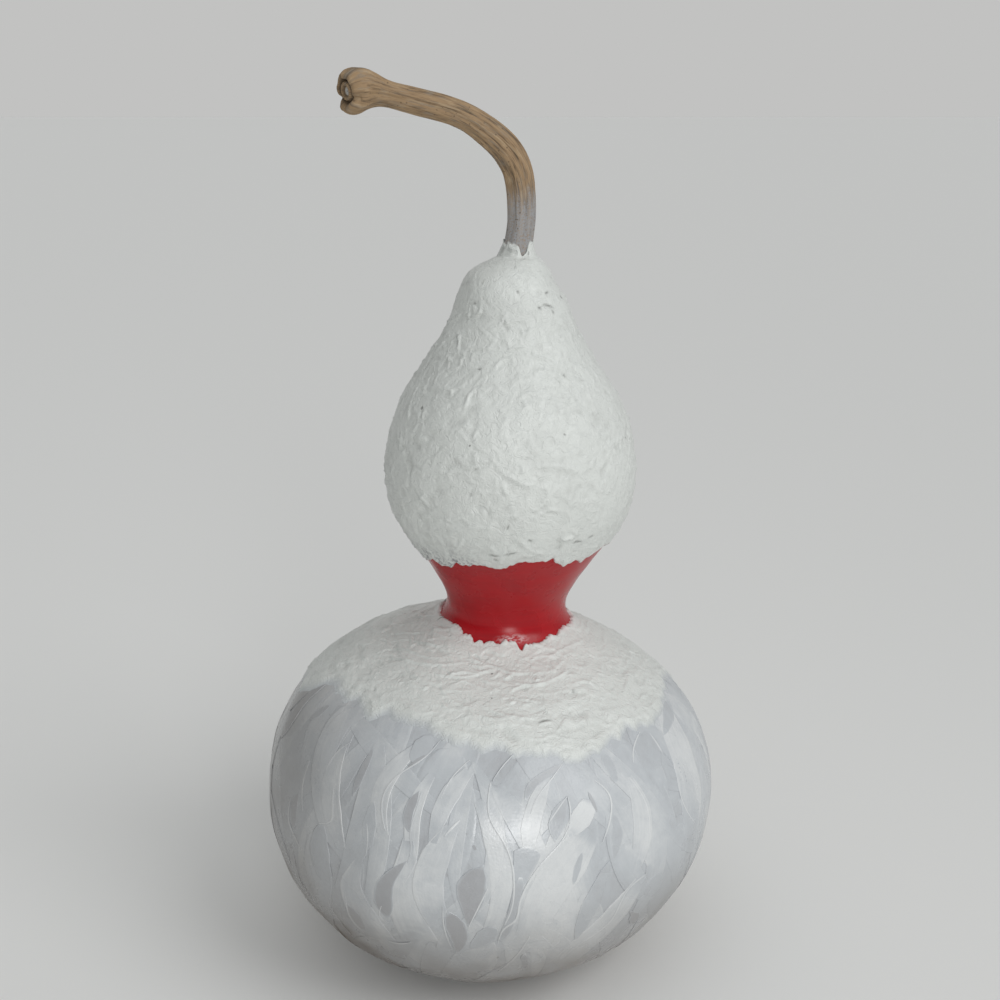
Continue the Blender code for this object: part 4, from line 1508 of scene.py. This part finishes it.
# Stem: a ribbed tube along its bend, flared and hollowed at the cut end
stem = {
    "line": [
        (11.5, 0, 343.4), (11.7, 0, 348.8), (12.4, 0, 354.6), (13.3, 0, 361.3), (13.5, 0, 368.8),
        (13, 0, 376.7), (10.9, -1, 385.4), (6.4, -3, 393.2), (0, -5, 399.5), (-7.5, -7, 404.8),
        (-17.4, -10, 409.5), (-30.6, -13, 413.2), (-44.5, -16.2, 416.7), (-54.5, -20.5, 418.4),
        (-60.9, -25, 417.6),
    ],
    # Share of the length, radius
    "radii": [
        (0, 6.5), (0.1, 6.2), (0.4, 6.6), (0.6, 5.8), (0.8, 5.5), (0.87, 5.9), (0.925, 8.3), (0.955, 9.2),
        (0.985, 8.4), (1, 7.2),
    ],
    # The cut end: distance back from the tip, radius, darkness
    "end": [
        (-0.4, 6.6, 0.1), (-0.7, 6.0, 0.1), (-0.6, 5.5, 0.3), (0.3, 5.1, 0.9), (1.6, 4.8, 1.0),
        (1.7, 4.4, 1.0), (0.5, 4.0, 0.6), (-0.4, 3.6, 0.1), (-0.6, 3.0, 0.1), (-0.3, 2.4, 0.4),
        (0.5, 2.0, 0.9), (0.7, 1.5, 0.2), (0.7, 0.5, 0.0),
    ],
    "rows": 300,
    "sides": 128,
    "ribs": 7,
    "ribDepth": 0.035,          # share of the radius, as are the fibres
    "twist": 1.6,
    "fibreDepth": 0.05,
    "seed": 17,
    "lip": (1.8, 0.8),          # mm that the cut end's lip juts forwards and down
    "notch": 1.8,
    "pith": 1.9,                # mm, radius of the pale middle
    "patternRadius": 6.3,
}


def stemTree():
    # Sweeps a round section along the rail, then sets each ring's size and its ribs by formula
    tree, add, given = newGeometryTree("sweepStem", [
        ("Sides", "NodeSocketInt", 96),
        ("Ribs", "NodeSocketInt", 7),
        ("Rib Depth", "NodeSocketFloat", 0.04),
        ("Twist", "NodeSocketFloat", 1.5),
        ("Fibre Depth", "NodeSocketFloat", 0.05),
        ("Seed", "NodeSocketFloat", 1.0),
        ("Wood", "NodeSocketMaterial", None),
    ])
    around, along, rough, girth = (
        add("GeometryNodeInputNamedAttribute", name, data_type="FLOAT")
        for name in ("round", "along", "rough", "girth")
    )
    rail, core = (
        add("GeometryNodeInputNamedAttribute", name, data_type="FLOAT_VECTOR") for name in ("rail", "core")
    )
    curve = add("GeometryNodeMeshToCurve", given["Geometry"])
    circle = add("GeometryNodeCurvePrimitiveCircle", given["Sides"], 1.0)
    circle = add(
        "GeometryNodeStoreNamedAttribute", circle, None, "round", add("GeometryNodeSplineParameter"),
        data_type="FLOAT", domain="POINT",
    )
    tube = add("GeometryNodeCurveToMesh", curve, circle)
    spoke = add("ShaderNodeVectorMath", add("GeometryNodeInputPosition"), rail, **minus)
    spoke = add("ShaderNodeVectorMath", spoke, operation="NORMALIZE")
    turn = add("ShaderNodeMath", around, 2 * math.pi, **times)
    x, y = (
        add("ShaderNodeMath", add("ShaderNodeMath", turn, operation=word), 1.3, **times)
        for word in ("COSINE", "SINE")
    )
    z = add("ShaderNodeMath", along, 3.0, given["Seed"], **timesPlus)
    wander = add("ShaderNodeCombineXYZ", x, y, z)
    broad = add("ShaderNodeTexNoise", wander, 1.4, 2.0)
    fine = add("ShaderNodeTexNoise", wander, 6.0, 2.0, 0.6)
    wave = add("ShaderNodeMath", along, given["Twist"], **times)
    wave = add("ShaderNodeMath", turn, given["Ribs"], wave, **timesPlus)
    wave = add("ShaderNodeMath", broad, 5.0, wave, **timesPlus)
    swell = add("ShaderNodeMath", add("ShaderNodeMath", wave, operation="SINE"), given["Rib Depth"], **times)
    swell = wavered(add, fine, given["Fibre Depth"], swell)
    swell = wavered(add, broad, 0.22, swell)
    swell = add("ShaderNodeMath", swell, rough, 1.0, **timesPlus)
    reach = add("ShaderNodeMath", girth, swell, **times)
    spoke = add("ShaderNodeVectorMath", spoke, reach, operation="SCALE")
    tube = add("GeometryNodeSetPosition", tube, None, add("ShaderNodeVectorMath", core, spoke, **plus))
    tube = add("GeometryNodeMergeByDistance", tube, None, 0.00002)
    endGeometryTree(add, tube, given["Wood"])
    return tree


def makeStem():
    line = np.array(stem["line"], float)
    run = chordLengths(line)
    total = run[-1]
    rows = np.linspace(0, 1, stem["rows"])
    back, radii, dark = zip(*stem["end"])
    girth = np.concatenate([[0.001, 6.0], smoothCurve(*zip(*stem["radii"]), rows), radii, [0.001]])
    places = np.concatenate([[0, 0], rows * total, total - np.array([*back, back[-1]])])
    inside = np.clip(places, 0, total)
    before, after = (smoothCurve(run, line, np.clip(inside + step, 0, total)) for step in (-0.5, 0.5))
    way = (after - before) / np.linalg.norm(after - before, axis=1, keepdims=True)
    core = smoothCurve(run, line, inside) + way * (places - inside)[:, None]
    # The rail only steers the sweep: it runs on past both ends, where the rings close in on themselves
    last = len(rows) + 1
    tail = len(places) - last - 1
    step = np.concatenate([[-0.4, -0.2], np.zeros(len(rows)), 0.2 * (np.arange(tail) + 1)])
    rail = np.concatenate([core[:last + 1], np.repeat(core[[last]], tail, 0)]) + way * step[:, None]
    source = makePiece("stemRail", rail, [], {
        "girth": girth * mm,
        "along": places / total,
        "rough": np.concatenate([[0, 0.2], 0.2 + 0.8 * ease(rows / 0.13), np.linspace(0.9, 0.2, tail)]),
        "pit": np.concatenate([np.zeros(last + 1), dark, [1]]),
        "rail": rail * mm,
        "core": core * mm,
    }, edges=[(i, i + 1) for i in range(len(places) - 1)])
    piece = runGeometryTree(source, stemTree(), {
        "Sides": stem["sides"],
        "Ribs": stem["ribs"],
        "Rib Depth": stem["ribDepth"],
        "Twist": stem["twist"],
        "Fibre Depth": stem["fibreDepth"],
        "Seed": float(stem["seed"]),
        "Wood": stemMaterial,
    }, "driedStem")
    data = piece.data
    where = readPoints(data)
    along, turn = readNumbers(data, "along"), readNumbers(data, "round") * 2 * math.pi
    # At the cut end the rim juts out below in a lip, and a notch parts the lip from the rest
    onward = way[last]
    off = where - core[last]
    ahead = off @ onward
    spokes = off - ahead[:, None] * onward
    far = np.linalg.norm(spokes, axis=1)
    below = -spokes[:, 2] / np.maximum(far, 0.01)
    lip = ease((below - 0.6) / 0.3) * ease((far - 5) / 1.5) * ease((ahead + 7) / 6)
    notch = np.exp(-(((below - 0.42) / 0.16) ** 2)) * ease((far - 4.6) / 1.5) * ease((ahead + 3) / 2.5)
    forwards, down = stem["lip"]
    where += lip[:, None] * (onward * forwards - (0, 0, down)) - notch[:, None] * onward * stem["notch"]
    data.vertices.foreach_set("co", (where * mm).ravel())
    # The pattern is read round the stem and along it in mm, so that it meets itself
    radius = stem["patternRadius"]
    pith = (far < stem["pith"]) & (ahead > -3)
    bearing = np.degrees(np.arctan2(where[:, 1], where[:, 0] - stemFoot["axis"]))
    rise = stemFoot["paintTop"] - stemFoot["paintGap"] * inGap(bearing) + 0.8 * softNoise(where, 2.5, 61)
    writeAttributes(data, {
        "brushPlace": np.stack([radius * np.cos(turn), along * total, radius * np.sin(turn)], axis=1),
        "painted": np.maximum(0.92 * ease(rise - where[:, 2]), 0.75 * pith),
    })
    return piece


stemPiece = makeStem()
print("stem made", len(stemPiece.data.polygons))


# Plain pale floor and soft studio light: open to the right, closed to the left
studio = {
    "floor": "#E6E6E4",
    # The world's light from the left, the front, the right, above and behind
    "left": "#777877",
    "front": "#929496",
    "right": "#C6C8CA",
    "above": "#C6C8C9",
    "behind": "#C2C2C1",
    "nearFloor": 0.6,          # share of that light which comes in low
    "sun": 0.79,
    "sunFrom": (0.75, -0.50, 0.85),
    "sunAngle": 34,             # degrees, so that its shadow is soft
    "window": {"place": (0.32, -1.45, 0.51), "size": (0.40, 0.52), "power": 0.72, "spread": 56},
    "windowAim": (0.0, 0.0, 0.12),
}


def aimed(place, target):
    return (Vector(target) - Vector(place)).to_track_quat("-Z", "Y").to_euler()


def addStudio():
    reach = 20000
    corners = [(-reach, -reach, -0.05), (reach, -reach, -0.05), (reach, reach, -0.05), (-reach, reach, -0.05)]
    material, add = newMaterial("paleFloor")
    endMaterial(add, hexColour(studio["floor"]), 0.9)
    floor = makePiece("floor", corners, [(0, 1, 2, 3)], materials=(material,))
    world = bpy.data.worlds.new("studio")
    bpy.context.scene.world = world
    world.use_nodes = True
    tree = world.node_tree
    add = partial(addNode, tree)
    x, y, z = add("ShaderNodeSeparateXYZ", add("ShaderNodeTexCoord", output="Generated"), output="all")
    colour = layered(add, studio["left"], [
        (add("ShaderNodeMapRange", x, -0.8, -0.2, **soft), studio["front"]),
        (add("ShaderNodeMapRange", x, 0.2, 0.8, **soft), studio["right"]),
        (add("ShaderNodeMapRange", z, 0.0, 0.45, 1 - studio["nearFloor"], 0.0, **soft), "#000000"),
        (add("ShaderNodeMapRange", z, 0.25, 0.9, **soft), studio["above"]),
        (add("ShaderNodeMapRange", y, 0.1, 0.8, **soft), studio["behind"]),
    ])
    tree.links.new(colour, tree.nodes["Background"].inputs["Color"])
    sun = bpy.data.lights.new("key", "SUN")
    sun.energy = studio["sun"]
    sun.angle = math.radians(studio["sunAngle"])
    window = bpy.data.lights.new("window", "AREA")
    window.shape = "RECTANGLE"
    window.size, window.size_y = studio["window"]["size"]
    window.energy = studio["window"]["power"]
    window.spread = math.radians(studio["window"]["spread"])
    for light, place, target in (
        (sun, studio["sunFrom"], (0, 0, 0)), (window, studio["window"]["place"], studio["windowAim"]),
    ):
        lamp = bpy.data.objects.new(light.name, light)
        lamp.location = place
        lamp.rotation_euler = aimed(place, target)
        bpy.context.collection.objects.link(lamp)
    bpy.context.scene.view_settings.view_transform = "Standard"


addCamera()
addStudio()

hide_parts("gourd")
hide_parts("stem")
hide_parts("paste_cap")
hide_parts("paste_collar")
for piece, slot in [
    (gourdPiece, "painted_rind"),
    (stemPiece, "stem_wood"),
    (capPiece, "texture_paste"),
    (collarPiece, "texture_paste"),
    *[(p, "painted_rind") for p in strokePieces],
]:
    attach(piece, "root")
